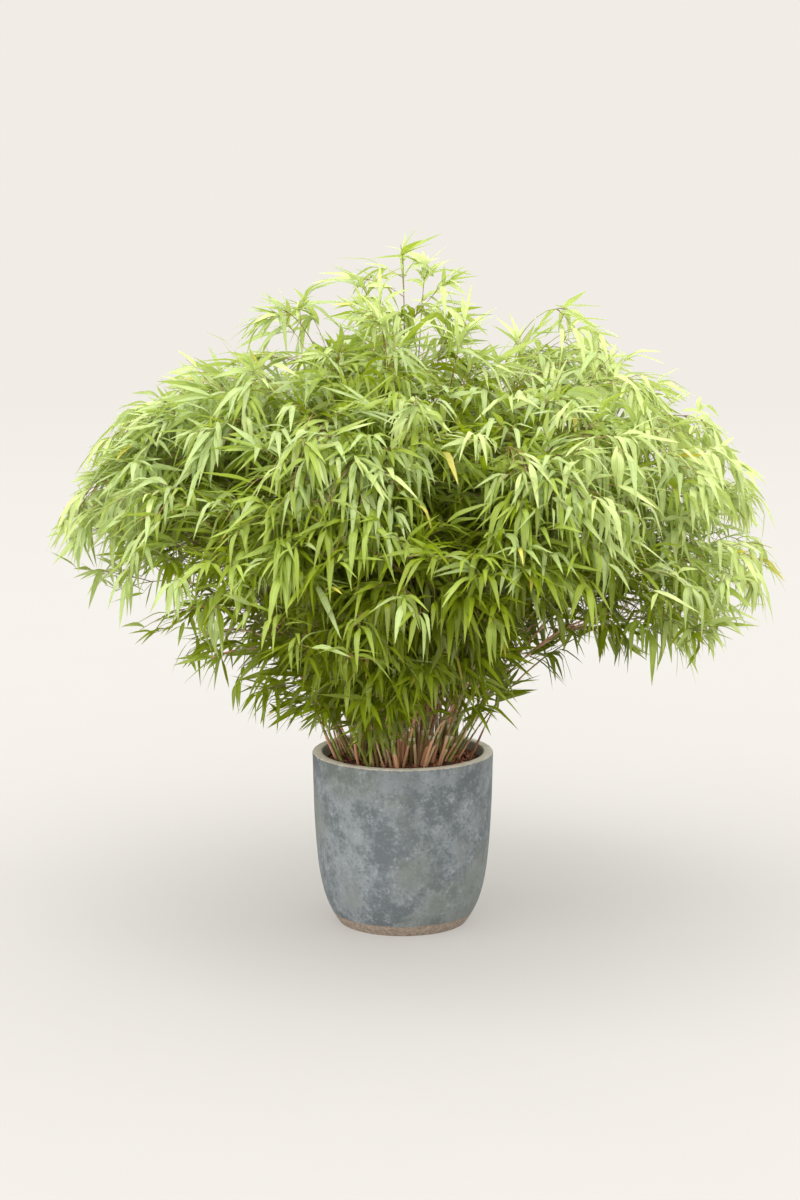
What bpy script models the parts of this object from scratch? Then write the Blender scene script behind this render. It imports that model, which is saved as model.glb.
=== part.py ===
"""Clumping umbrella bamboo in a round clay pot.

Slender canes rise from the mulch, fan out and arch over. Each leading cane ends where it enters its own
mass of foliage, whose stem grows on from the cane's tip and branches into twigs that carry the leaves.
The masses stand in tiers, from the top of the crown down to the sprays beside the rim.

Units are metres, +Z is up, and the origin is the middle of the pot's flat underside.
"""

import math
import random
from typing import NamedTuple

import bmesh
import bpy
import numpy as np
from mathutils import Matrix, Vector
from mathutils.bvhtree import BVHTree

CLEARANCE = 0.0003  # between solids that rest on each other

# Pot: a round wall that swells quickly from the foot and then flares a little up to the rim
POT_HEIGHT = 0.404
FOOT_RADIUS = 0.148
BELLY_SWELL = 0.053
BELLY_HEIGHT = 0.070
RIM_FLARE = 0.009
RIM_WALL = 0.024
RIM_ROUND = 0.004
FLOOR_THICKNESS = 0.030
FLOOR_INSET = 1.6 * RIM_WALL  # of the floor's edge from the outer wall
POT_SIDES = 36
POT_FOOT_HEIGHTS = (0.0, 0.004, 0.022, 0.050)
POT_WALL_HEIGHTS = (0.095, 0.165, 0.270)
MULCH_BELOW_RIM = 0.028
MULCH_LEVEL = POT_HEIGHT - MULCH_BELOW_RIM

# Canes
CANE_SIDES = 5
CANE_PIECES = 6
CANE_FOOT_RADIUS = 0.0046
CANE_TIP_RADIUS = 0.0034
FOOT_FLARE = 1.35
FLARE_HEIGHT = 0.012
CANE_SPACING = 0.004  # free space kept between two canes

# Outline of the crown, as distances from its own axis and heights above the ground
CROWN_SHIFT = 0.035  # the crown's axis stands this far from the pot's, on the +X side
CROWN_REACH = 0.825
CROWN_TOP = 1.58
WIDEST_HEIGHT = 0.90
TOP_ROUNDNESS = 1.55
TOP_FALL = 0.62
SPIRE_HEIGHT = 0.045  # the middle shoots stand this much above the rounded top
SPIRE_REACH = 0.14
HEM_RADIUS = 0.25
HEM_HEIGHT = 0.450  # the foliage hangs lowest just outside the pot's rim
HEM_SLOPE = 0.56  # and rises outwards
BARE_HEIGHT = 0.57  # the canes are bare below this height on the axis
BARE_SLOPE = 1.1
SIDE_DROOP = 0.03  # the hem hangs this much lower at its edge on the +X side, and is higher on the -X side


class Tier(NamedTuple):
    """One storey of foliage masses, set evenly round the crown's axis."""

    count: int  # masses
    out: float  # distance of their middles from the crown's axis
    height: float  # of their middles
    turn: float  # direction of the first one, in degrees
    foot: float  # the canes' distance from the pot's axis at the mulch
    tip_out: float  # how far out the stems' tips reach
    tip_height: float
    leaves: int  # the most that a mass carries


TIERS = {
    "crest": Tier(1, 0.02, 1.38, 200, 0.010, 0.05, 1.58, 20),
    "top": Tier(4, 0.25, 1.24, 20, 0.042, 0.37, 1.42, 21),
    "heart": Tier(3, 0.18, 0.86, 80, 0.068, 0.32, 0.98, 13),
    "shoulder": Tier(6, 0.48, 1.06, 10, 0.092, 0.69, 1.17, 18),
    "canopy": Tier(8, 0.64, 0.86, 0, 0.118, 0.80, 0.87, 18),
    "skirt": Tier(5, 0.37, 0.66, 40, 0.150, 0.53, 0.65, 14),
}

# The line of a leading cane, from its foot over a rise and an arch to its tip
LINE_POINTS = 160
LINE_TRIES = 200
FOOT_SCATTER = 0.012
FOOT_TURN = 0.3
RISE_OUT = 0.22  # of the distance to the mass's middle
RISE_HEIGHT = 0.55  # of the height of the mass's middle above the mulch
ARCH_OUT = 0.75
ARCH_LIFT = 0.20  # above the tip, as a share of the tip's distance
TIP_TURN = 0.1
ENTRY_SHARE = 0.8  # a cane has entered its mass for good before this share of its line

# Core canes, which end among the foliage without a mass of their own
CORE_CANES = 4
CORE_FOOT = 0.120
CORE_HEIGHT = 0.80
CORE_HEIGHT_SCATTER = (-0.12, 0.10)
CORE_SCATTER = 0.02
CORE_LEAN = (0.3, 1.0)  # of the foot's distance from the axis
CORE_TURN = 0.5
CORE_POINTS = 100
CORE_TRIES = 400
CORE_RISE = 0.35
CORE_ARCH = 0.7
CORE_ARCH_LEAN = 0.1

# Stems and twigs
STEM_RADIUS = 0.0042
STEM_END_RADIUS = 0.0034
STEM_PIECES = 4
STEM_PLACES = 60
FIRST_TWIG_PLACE = 4
TWIG_PLACES = 54
TWIG_TRIES = 30  # for each stem
TWIG_ROOT_RADIUS = 0.0015  # small enough to end inside the stem
TWIG_RADIUS = 0.0032
TWIG_END_RADIUS = 0.0029
TWIG_SIDES = 3
TWIG_REACH = 0.24
SHORTEST_TWIG = 0.04
TWIG_LENGTHS = (0.8, 1.0)  # of the length that fits
TWIG_PROBES = 20
TWIG_ALONG = 0.5
TWIG_OUTWARD = 0.85
TWIG_LIFT = 0.08
TWIG_DROOP = 0.25
TWIG_TURN = 0.4

# Leaves
END_LEAVES = 3  # at each stem's tip
END_LEAF_STEP = 3
LEAVES_ON_TWIG = 4
LAST_LEAF_PLACE = 0.96  # of the twig's length
LEAF_PLACE_STEP = 0.22
LEAF_TRIES = 14
LEAF_LENGTH = 0.235
LEAF_LENGTHS = (0.85, 1.10)
LEAF_SHRINK = 0.02  # at each try
LEAF_ROOM = 0.35  # of a leaf's length, kept free beyond a twig's end
LEAF_WIDTH = 0.046
LEAF_THICKNESS = 0.0034
LEAF_BEND = 0.36  # the widest place, as a share of the length, where the blade bends down
LEAF_HANG = 0.45  # how steeply the blade turns down there
LEAF_TURN = (20, 45)  # degrees from the twig
LEAF_TURN_MORE = 6  # degrees at each try
LEAF_FALL = (0.25, 1.15)
LEAF_FALL_LEAN = 0.25
LEAF_ROLL = 0.9
LEAST_LEVEL = 0.15  # a twig steeper than this has leaves all round
STALK_WIDTH = 0.0022
STALK_THICKNESS = 0.0014

SPACE_MARGIN = 0.002  # kept free on each side of the border between two masses
LIMB_MARGIN = 0.003  # kept free round the canes that pass through a mass
OWN_CANE_PIECES = 40  # a mass may grow round the last two of these pieces of its own cane
PIECE_MARGIN = 0.0005  # kept free between pieces that don't grow from each other
GOLDEN_TURN = math.radians(137.5)
GOLDEN_SHARE = 0.618
SEED = 11

COLOURS = {
    "clay": ((0.115, 0.130, 0.135), 0.75),
    "mulch": ((0.085, 0.033, 0.020), 0.95),
    "cane": ((0.250, 0.155, 0.070), 0.55),
    "leaf": ((0.190, 0.360, 0.060), 0.50),
}


def clear_scene():
    for obj in list(bpy.data.objects):
        bpy.data.objects.remove(obj)


def material(name):
    """The Principled material of that name, made on first use."""
    made = bpy.data.materials.get(name)
    if made is None:
        made = bpy.data.materials.new(name)
        made.use_nodes = True
        colour, roughness = COLOURS[name]
        shader = made.node_tree.nodes["Principled BSDF"]
        shader.inputs["Base Color"].default_value = (*colour, 1.0)
        shader.inputs["Roughness"].default_value = roughness
        shader.inputs["Metallic"].default_value = 0.0
    return made


def add_object(name, bm, colour, collection=None, smooth=True):
    """A mesh object from the bmesh, which is freed."""
    bmesh.ops.recalc_face_normals(bm, faces=bm.faces)
    mesh = bpy.data.meshes.new(name)
    bm.to_mesh(mesh)
    bm.free()
    mesh.materials.append(material(colour))
    if smooth:
        mesh.shade_smooth()
        mesh.set_sharp_from_angle(angle=math.radians(40))
    obj = bpy.data.objects.new(name, mesh)
    (collection or bpy.context.scene.collection).objects.link(obj)
    return obj


def polar(distance, azimuth, height):
    return Vector((distance * math.cos(azimuth), distance * math.sin(azimuth), height))


# ---------------------------------------------------------------- pot and mulch


def wall_radius(height):
    """The outer wall's radius at that height."""
    swell = BELLY_SWELL * (1 - math.exp(-height / BELLY_HEIGHT))
    return FOOT_RADIUS + swell + RIM_FLARE * height / POT_HEIGHT


def turned(name, profile, colour):
    """A closed solid of revolution. The profile runs from a point on the axis to another one."""
    bm = bmesh.new()
    verts = [bm.verts.new((radius, 0, height)) for radius, height in profile]
    edges = [bm.edges.new(pair) for pair in zip(verts, verts[1:])]
    bmesh.ops.spin(
        bm,
        geom=verts + edges,
        cent=(0, 0, 0),
        axis=(0, 0, 1),
        angle=2 * math.pi,
        steps=POT_SIDES,
        use_merge=True,
    )
    bmesh.ops.remove_doubles(bm, verts=bm.verts, dist=1e-5)
    return add_object(name, bm, colour)


def make_pot():
    shoulder = POT_HEIGHT - RIM_ROUND
    outer = [(wall_radius(height), height) for height in (*POT_FOOT_HEIGHTS, *POT_WALL_HEIGHTS, shoulder)]
    rim = wall_radius(POT_HEIGHT)
    lip = [
        (rim - RIM_ROUND, POT_HEIGHT),
        (rim - RIM_WALL + RIM_ROUND, POT_HEIGHT),
        (rim - RIM_WALL, shoulder),
    ]
    inner = [(wall_radius(height) - RIM_WALL, height) for height in reversed(POT_WALL_HEIGHTS)]
    floor = (wall_radius(FLOOR_THICKNESS) - FLOOR_INSET, FLOOR_THICKNESS)
    turned("pot", [(0, 0), *outer, *lip, *inner, floor, (0, FLOOR_THICKNESS)], "clay")


def make_mulch():
    """The root ball with its bark mulch, which fills the pot and has a level top for the canes."""
    side = [(wall_radius(height) - RIM_WALL - CLEARANCE, height) for height in POT_WALL_HEIGHTS]
    foot = (wall_radius(FLOOR_THICKNESS) - FLOOR_INSET - 2 * CLEARANCE, FLOOR_THICKNESS + CLEARANCE)
    edge = (wall_radius(MULCH_LEVEL) - RIM_WALL - 3 * CLEARANCE, MULCH_LEVEL)
    turned("mulch", [(0, foot[1]), foot, *side, edge, (0, MULCH_LEVEL)], "mulch")


# ---------------------------------------------------------------- limbs


def bezier(start, rise, arch, end, pieces):
    """Points along a cubic curve."""
    points = []
    for step in range(pieces + 1):
        t = step / pieces
        s = 1 - t
        points.append(start * s**3 + rise * (3 * s * s * t) + arch * (3 * s * t * t) + end * t**3)
    return points


def tangents(path):
    ends = [path[0], *path, path[-1]]
    return [(after - before).normalized() for before, after in zip(ends, ends[2:])]


def tube(path, radii, sides, facing=None):
    """Corners and faces of a capped tube along the path. Its first end can be cut to face another way."""
    across = Vector((1, 0, 0)) if abs(tangents(path)[0].x) < 0.9 else Vector((0, 1, 0))
    corners = []
    faces = []
    for index, (point, along, radius) in enumerate(zip(path, tangents(path), radii)):
        if facing and index == 0:
            along = facing
        across = (across - along * across.dot(along)).normalized()
        other = along.cross(across)
        for side in range(sides):
            turn = 2 * math.pi * side / sides
            corners.append(point + (across * math.cos(turn) + other * math.sin(turn)) * radius)
    for ring in range(len(path) - 1):
        for side in range(sides):
            near = ring * sides + side
            after = ring * sides + (side + 1) % sides
            faces.append((near, after, after + sides, near + sides))
    faces.append(tuple(reversed(range(sides))))
    faces.append(tuple(range(len(corners) - sides, len(corners))))
    return corners, faces


def resample(path, pieces):
    """The same line with evenly spaced points."""
    steps = [0.0]
    for before, after in zip(path, path[1:]):
        steps.append(steps[-1] + (after - before).length)
    made = []
    index = 0
    for step in range(pieces + 1):
        wanted = steps[-1] * step / pieces
        while index < len(path) - 2 and steps[index + 1] < wanted:
            index += 1
        span = steps[index + 1] - steps[index]
        made.append(path[index].lerp(path[index + 1], min(1.0, (wanted - steps[index]) / span)))
    return made


def clear_of(line, others, room):
    """Whether the line of closely spaced points keeps that much room from all the other lines."""
    here = np.array(line)[:, None, :]
    apart = [((here - np.array(other)[None, :, :]) ** 2).sum(axis=2).min() for other in others]
    return min(apart, default=math.inf) > room * room


def from_crown_axis(distance, azimuth, height):
    return polar(distance, azimuth, height) + Vector((CROWN_SHIFT, 0, 0))


def inside_outline(points):
    """How far each point lies inside the crown's outline."""
    out = np.hypot(points[:, 0] - CROWN_SHIFT, points[:, 1])
    share = np.minimum(1.0, out / CROWN_REACH)
    top = WIDEST_HEIGHT + (CROWN_TOP - WIDEST_HEIGHT) * (1 - share**TOP_ROUNDNESS) ** TOP_FALL
    top += SPIRE_HEIGHT * np.maximum(0.0, 1 - out / SPIRE_REACH)
    hem = HEM_HEIGHT + HEM_SLOPE * np.maximum(0.0, out - HEM_RADIUS)
    hem -= SIDE_DROOP * points[:, 0] / CROWN_REACH
    bare = BARE_HEIGHT - BARE_SLOPE * out
    height = points[:, 2]
    return np.minimum.reduce([top - height, height - hem, height - bare, CROWN_REACH - out])


class Mass:
    """A mass of foliage: its middle, its space among the other masses, its cane and its stem."""

    def __init__(self, tier, number):
        self.sizes = TIERS[tier]
        self.name = f"{tier}_{number + 1}"
        self.azimuth = math.radians(self.sizes.turn + 360 * number / self.sizes.count)
        self.drop = -SIDE_DROOP * self.sizes.out / CROWN_REACH * math.cos(self.azimuth)
        self.middle = from_crown_axis(self.sizes.out, self.azimuth, self.sizes.height + self.drop)

    def divide(self, masses):
        """The space ends half way to each other mass's middle."""
        others = np.array([mass.middle for mass in masses if mass is not self])
        middle = np.array(self.middle)
        self.away = (others - middle) / np.linalg.norm(others - middle, axis=1, keepdims=True)
        self.borders = (self.away * (others + middle) / 2).sum(axis=1)

    def inside(self, points):
        """How far inside the mass's own space each point is."""
        points = np.array(points).reshape(-1, 3)
        return np.minimum((self.borders - points @ self.away.T).min(axis=1), inside_outline(points))

    def route(self, rng):
        """One try at the cane's line: up from the mulch, over, and out to the tip."""
        sizes = self.sizes
        foot = polar(
            sizes.foot + rng.uniform(-FOOT_SCATTER, FOOT_SCATTER),
            self.azimuth + rng.uniform(-FOOT_TURN, FOOT_TURN),
            MULCH_LEVEL + CLEARANCE,
        )
        rise = foot + polar(
            RISE_OUT * sizes.out,
            self.azimuth + rng.uniform(-FOOT_TURN, FOOT_TURN),
            RISE_HEIGHT * (sizes.height - MULCH_LEVEL),
        )
        top = sizes.tip_height + self.drop
        tip = from_crown_axis(sizes.tip_out, self.azimuth + rng.uniform(-TIP_TURN, TIP_TURN), top)
        arch = from_crown_axis(ARCH_OUT * sizes.out, self.azimuth, top + ARCH_LIFT * sizes.tip_out)
        return bezier(foot, rise, arch, tip, LINE_POINTS)


def route_canes(masses, rng):
    """Gives each mass its line, clear of the lines before it, and cuts the line into cane and stem."""
    taken = []
    room = CANE_SPACING + 2 * CANE_FOOT_RADIUS
    for mass in masses:
        mass.divide(masses)
        tries = (mass.route(rng) for _ in range(LINE_TRIES))
        line = next((line for line in tries if clear_of(line, taken, room)), None)
        if line is None:
            raise RuntimeError(f"no free line for {mass.name}")
        taken.append(line)
        inside = mass.inside(line) > SPACE_MARGIN + STEM_RADIUS
        early = range(int(ENTRY_SHARE * len(line)))
        entry = max(index for index in early if not inside[index]) + 1
        last = entry
        while last + 1 < len(line) and inside[last + 1]:
            last += 1
        mass.cane = resample(line[: entry + 1], CANE_PIECES)
        onward = (mass.cane[-1] - mass.cane[-2]).normalized()
        mass.stem = resample([mass.cane[-1] + onward * CLEARANCE, *line[entry + 2 : last + 1]], STEM_PIECES)
    return taken


def route_core_canes(taken, rng):
    """Upright canes in the gaps of the clump, that end among the foliage."""
    lines = []
    room = CANE_SPACING + 2 * CANE_FOOT_RADIUS
    for number in range(CORE_CANES):
        azimuth = GOLDEN_TURN * number
        out = CORE_FOOT * math.sqrt((number + 0.5) / CORE_CANES)
        for _ in range(CORE_TRIES):
            aside = (rng.uniform(-CORE_SCATTER, CORE_SCATTER), rng.uniform(-CORE_SCATTER, CORE_SCATTER), 0)
            foot = polar(out, azimuth, MULCH_LEVEL + CLEARANCE) + Vector(aside)
            lean = polar(rng.uniform(*CORE_LEAN) * out, azimuth + rng.uniform(-CORE_TURN, CORE_TURN), 0)
            height = CORE_HEIGHT + rng.uniform(*CORE_HEIGHT_SCATTER)
            top = foot + lean + Vector((0, 0, height - foot.z))
            rise = foot.lerp(top, CORE_RISE)
            arch = foot.lerp(top, CORE_ARCH) + lean * CORE_ARCH_LEAN
            line = bezier(foot, rise, arch, top, CORE_POINTS)
            if clear_of(line, taken + lines, room):
                lines.append(line)
                break
        else:
            raise RuntimeError("no room for a core cane")
    return lines


def cane_mesh(path, extra=0.0):
    """Corners and faces of a tapering cane with a flared foot, cut level at the mulch."""
    flare_top = path[0] + (path[1] - path[0]).normalized() * FLARE_HEIGHT
    full = [path[0], flare_top, *path[1:]]
    radii = [CANE_FOOT_RADIUS * FOOT_FLARE + extra]
    for index in range(1, len(full)):
        share = (index - 1) / (len(full) - 2)
        radii.append(CANE_FOOT_RADIUS + (CANE_TIP_RADIUS - CANE_FOOT_RADIUS) * share + extra)
    return tube(full, radii, CANE_SIDES, Vector((0, 0, 1)))


# ---------------------------------------------------------------- foliage


LEAF_FACES = (
    (0, 1, 2),
    (0, 3, 4),
    (0, 4, 1),
    (1, 4, 5),
    (1, 5, 2),
    (2, 5, 3),
    (2, 3, 0),
    (3, 6, 4),
    (4, 6, 5),
    (5, 6, 3),
)


def turned_level(direction, turn):
    """The direction turned about the vertical."""
    level = direction.xy
    level.rotate(Matrix.Rotation(turn, 2))
    return Vector((*level, direction.z))


def leaf_mesh(root, direction, roll, length):
    """Corners and faces of a blade: a stalk sunk in the twig, two edges, a raised rib and a tip."""
    side = direction.cross(Vector((0, 0, 1))).normalized()
    up = side.cross(direction)
    around = Matrix.Rotation(roll, 3, direction)
    side = around @ side
    up = around @ up
    hang = (direction + Vector((0, 0, -LEAF_HANG))).normalized()
    bend = root + direction * (length * LEAF_BEND)
    half_width = LEAF_WIDTH / 2 * length / LEAF_LENGTH
    corners = [
        root - side * (STALK_WIDTH / 2) - up * (STALK_THICKNESS / 2),
        root + side * (STALK_WIDTH / 2) - up * (STALK_THICKNESS / 2),
        root + up * (STALK_THICKNESS / 2),
        bend - side * half_width,
        bend + side * half_width,
        bend + up * LEAF_THICKNESS,
        bend + hang * (length * (1 - LEAF_BEND)),
    ]
    return corners, LEAF_FACES


class Foliage:
    """Grows one mass: twigs along its stem, and leaves along each twig, each only where there is room."""

    def __init__(self, mass, limbs, rng):
        self.mass = mass
        self.rng = rng
        self.limbs = limbs
        thinning = (STEM_END_RADIUS - STEM_RADIUS) / STEM_PIECES
        radii = [STEM_RADIUS + thinning * index for index in range(STEM_PIECES + 1)]
        self.pieces = [tube(mass.stem, radii, TWIG_SIDES, tangents(mass.cane)[-1])]
        self.leaves = 0

    def free(self, piece, parent):
        """Whether the piece keeps to the space, and clear of the limbs and of every piece but its parent."""
        corners, faces = piece
        if self.mass.inside([tuple(corner) for corner in corners]).min() < SPACE_MARGIN:
            return False
        tree = BVHTree.FromPolygons(corners, faces, epsilon=LIMB_MARGIN / 2)
        if tree.overlap(self.limbs):
            return False
        others = [other for index, other in enumerate(self.pieces) if index != parent]
        return not any(tree.overlap(BVHTree.FromPolygons(*other, epsilon=PIECE_MARGIN)) for other in others)

    def add(self, piece, parent):
        """Keeps the piece if it is free."""
        if not self.free(piece, parent):
            return False
        self.pieces.append(piece)
        return True

    def add_leaf(self, root, along, parent, number):
        """Tries ways for the blade to hang, and keeps the first that is free."""
        level = Vector((along.x, along.y, 0))
        if level.length < LEAST_LEVEL:
            level = turned_level(Vector((1, 0, 0)), GOLDEN_TURN * number)
        level.normalize()
        for attempt in range(LEAF_TRIES):
            side = 1 if (number + attempt) % 2 else -1
            turn = side * math.radians(self.rng.uniform(*LEAF_TURN) + LEAF_TURN_MORE * attempt)
            fall = self.rng.uniform(*LEAF_FALL) - LEAF_FALL_LEAN * along.z
            direction = (turned_level(level, turn) - Vector((0, 0, fall))).normalized()
            length = LEAF_LENGTH * self.rng.uniform(*LEAF_LENGTHS) * (1 - LEAF_SHRINK * attempt)
            roll = self.rng.uniform(-LEAF_ROLL, LEAF_ROLL)
            if self.add(leaf_mesh(root, direction, roll, length), parent):
                self.leaves += 1
                return

    def twig_reach(self, root, direction):
        """How far the space runs on from the root in that direction, up to twice the longest twig."""
        step = direction * (TWIG_REACH * 2 / TWIG_PROBES)
        probes = [tuple(root + step * (number + 1)) for number in range(TWIG_PROBES)]
        inside = self.mass.inside(probes) > SPACE_MARGIN
        return step.length * (inside.tolist() + [False]).index(False)

    def grow_twig(self, root, along, number):
        """A twig that leaves the stem sideways and hangs, as long as its space allows, with its leaves."""
        turn = GOLDEN_TURN * number + self.rng.uniform(-TWIG_TURN, TWIG_TURN)
        side = along.cross(Vector((0, 0, 1))).normalized()
        up = side.cross(along)
        outward = side * math.cos(turn) + up * math.sin(turn)
        lift = Vector((0, 0, TWIG_LIFT))
        direction = (along * TWIG_ALONG + outward * TWIG_OUTWARD + lift).normalized()
        length = min(TWIG_REACH, self.twig_reach(root, direction) - LEAF_ROOM * LEAF_LENGTH)
        length *= self.rng.uniform(*TWIG_LENGTHS)
        if length < SHORTEST_TWIG:
            return
        middle = root + direction * (length / 2)
        onward = (direction - Vector((0, 0, TWIG_DROOP))).normalized()
        path = [root, middle, middle + onward * (length / 2)]
        radii = [TWIG_ROOT_RADIUS, TWIG_RADIUS, TWIG_END_RADIUS]
        parent = len(self.pieces)
        if not self.add(tube(path, radii, TWIG_SIDES), 0):
            return
        for leaf in range(LEAVES_ON_TWIG):
            place = 2 * (LAST_LEAF_PLACE - LEAF_PLACE_STEP * leaf)
            index = min(int(place), 1)
            onward = (path[index + 1] - path[index]).normalized()
            self.add_leaf(path[index].lerp(path[index + 1], place - index), onward, parent, leaf)

    def grow(self):
        """Leaves at the stem's tip first, then twigs spread along it by the golden share."""
        line = resample(self.mass.stem, STEM_PLACES)
        ways = tangents(line)
        last = STEM_PLACES - 1
        for leaf in range(END_LEAVES):
            self.add_leaf(line[last - END_LEAF_STEP * leaf], ways[last], 0, leaf)
        for number in range(TWIG_TRIES):
            index = FIRST_TWIG_PLACE + int(TWIG_PLACES * (GOLDEN_SHARE * number % 1.0))
            if self.leaves < self.mass.sizes.leaves:
                self.grow_twig(line[index], ways[index], number)


def mesh_of(piece):
    """A bmesh of the piece's corners and faces."""
    bm = bmesh.new()
    verts = [bm.verts.new(corner) for corner in piece[0]]
    for face in piece[1]:
        bm.faces.new([verts[index] for index in face])
    return bm


def fuse(name, pieces):
    """The stem, twigs and leaves of a mass joined into one solid."""
    body = add_object(name, mesh_of(pieces[0]), "leaf", smooth=False)
    parts = bpy.data.collections.new(f"{name}_parts")
    bpy.context.scene.collection.children.link(parts)
    for number, piece in enumerate(pieces[1:]):
        add_object(f"{name}_part_{number}", mesh_of(piece), "leaf", parts, smooth=False)
    union = body.modifiers.new("join", "BOOLEAN")
    union.operation = "UNION"
    union.operand_type = "COLLECTION"
    union.collection = parts
    union.solver = "EXACT"
    graph = bpy.context.evaluated_depsgraph_get()
    joined = bpy.data.meshes.new_from_object(body.evaluated_get(graph))
    body.modifiers.clear()
    body.data = joined
    joined.name = name
    for obj in list(parts.objects):
        bpy.data.objects.remove(obj)
    bpy.data.collections.remove(parts)
    keep_largest_shell(joined)


def keep_largest_shell(mesh):
    """Drops loose scraps, and the inner walls of any hollow that the joining sealed."""
    bm = bmesh.new()
    bm.from_mesh(mesh)
    left = set(bm.verts)
    shells = []
    while left:
        stack = [left.pop()]
        shell = set(stack)
        while stack:
            for edge in stack.pop().link_edges:
                for vert in edge.verts:
                    if vert in left:
                        left.discard(vert)
                        shell.add(vert)
                        stack.append(vert)
        shells.append(shell)
    largest = max(shells, key=len)
    bmesh.ops.delete(bm, geom=[vert for vert in bm.verts if vert not in largest], context="VERTS")
    bm.to_mesh(mesh)
    bm.free()


def main():
    clear_scene()
    rng = random.Random(SEED)
    make_pot()
    make_mulch()
    masses = [Mass(tier, number) for tier, sizes in TIERS.items() for number in range(sizes.count)]
    lines = route_canes(masses, rng)
    core = [resample(line, CANE_PIECES) for line in route_core_canes(lines, rng)]
    canes = {f"cane_{mass.name}": mass.cane for mass in masses}
    canes.update({f"cane_core_{number + 1}": line for number, line in enumerate(core)})
    for name, path in canes.items():
        add_object(name, mesh_of(cane_mesh(path)), "cane")
    for mass in masses:
        corners = []
        faces = []
        for path in canes.values():
            if path is mass.cane:
                path = resample(path, OWN_CANE_PIECES)[:-2]
            start = len(corners)
            more, around = cane_mesh(path, LIMB_MARGIN)
            corners += more
            faces += [tuple(start + index for index in face) for face in around]
        foliage = Foliage(mass, BVHTree.FromPolygons(corners, faces), rng)
        foliage.grow()
        fuse(f"foliage_{mass.name}", foliage.pieces)


main()
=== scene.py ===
import math
import random
from typing import NamedTuple

import bpy
import numpy as np
from bpy.props import FloatProperty, FloatVectorProperty, IntProperty, PointerProperty
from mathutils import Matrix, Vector, noise


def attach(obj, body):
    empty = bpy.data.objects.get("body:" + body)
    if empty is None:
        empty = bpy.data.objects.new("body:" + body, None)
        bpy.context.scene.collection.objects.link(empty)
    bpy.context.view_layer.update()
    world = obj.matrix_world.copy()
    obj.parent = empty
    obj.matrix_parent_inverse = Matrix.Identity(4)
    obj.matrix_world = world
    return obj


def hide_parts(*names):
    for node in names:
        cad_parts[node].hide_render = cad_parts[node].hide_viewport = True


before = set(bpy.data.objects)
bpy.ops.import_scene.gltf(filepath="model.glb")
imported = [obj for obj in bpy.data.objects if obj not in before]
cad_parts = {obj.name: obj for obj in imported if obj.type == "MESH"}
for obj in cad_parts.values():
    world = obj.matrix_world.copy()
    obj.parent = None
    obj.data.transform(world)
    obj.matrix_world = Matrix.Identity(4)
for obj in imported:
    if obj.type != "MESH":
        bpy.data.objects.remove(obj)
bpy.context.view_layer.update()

bl_info = {
    "name": "Potted umbrella bamboo",
    "version": (1, 0, 0),
    "blender": (4, 5, 0),
    "location": "3D View > Sidebar > Bamboo",
    "description": "Dresses the packed bamboo with its clay pot, bark mulch, canes, twigs and leaves",
    "category": "Add Mesh",
}

# ---------------------------------------------------------------- the plan shared with the solids

CLEARANCE = 0.0003
POT_HEIGHT = 0.404
FOOT_RADIUS = 0.148
BELLY_SWELL = 0.053
BELLY_HEIGHT = 0.070
RIM_FLARE = 0.009
RIM_WALL = 0.024
MULCH_LEVEL = POT_HEIGHT - 0.028

CROWN_SHIFT = 0.035
CROWN_REACH = 0.825
CROWN_TOP = 1.58
WIDEST_HEIGHT = 0.90
TOP_ROUNDNESS = 1.55
TOP_FALL = 0.62
SPIRE_HEIGHT = 0.045
SPIRE_REACH = 0.14
HEM_RADIUS = 0.25
HEM_HEIGHT = 0.450
HEM_SLOPE = 0.56
BARE_HEIGHT = 0.57
BARE_SLOPE = 1.1
SIDE_DROOP = 0.03


class Tier(NamedTuple):
    """One storey of foliage masses, set evenly round the crown's axis."""

    count: int  # masses
    out: float  # distance of their middles from the crown's axis
    height: float  # of their middles
    turn: float  # direction of the first one, in degrees
    foot: float  # the canes' distance from the pot's axis at the mulch
    tip_out: float  # how far out the canes' tips reach
    tip_height: float


TIERS = {
    "crest": Tier(1, 0.02, 1.38, 200, 0.010, 0.05, 1.58),
    "top": Tier(4, 0.25, 1.24, 20, 0.042, 0.37, 1.42),
    "heart": Tier(3, 0.18, 0.86, 80, 0.068, 0.32, 0.98),
    "shoulder": Tier(6, 0.48, 1.06, 10, 0.092, 0.69, 1.17),
    "canopy": Tier(8, 0.64, 0.86, 0, 0.118, 0.80, 0.87),
    "skirt": Tier(5, 0.37, 0.66, 40, 0.150, 0.53, 0.65),
}
TIER_FILL_CANES = {"heart": 1, "skirt": 3, "shoulder": 6}  # the others have the number in the settings

CANE_ROOM = 0.0132  # between the middles of two canes
LINE_POINTS = 160
LINE_TRIES = 200
FOOT_SCATTER = 0.012
FOOT_TURN = 0.3
RISE_OUT = 0.22
RISE_HEIGHT = 0.55
ARCH_OUT = 0.75
ARCH_LIFT = 0.20
TIP_TURN = 0.1
CORE_CANES = 4
CORE_FOOT = 0.120
CORE_HEIGHT = 0.80
CORE_HEIGHT_SCATTER = (-0.12, 0.10)
CORE_SCATTER = 0.02
CORE_LEAN = (0.3, 1.0)
CORE_TURN = 0.5
CORE_POINTS = 100
CORE_TRIES = 400
CORE_BOW = 0.1  # of its lean
CURVE_RISE = 0.35  # how far up an upright cane's curve its two handles lie
CURVE_ARCH = 0.70

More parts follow.
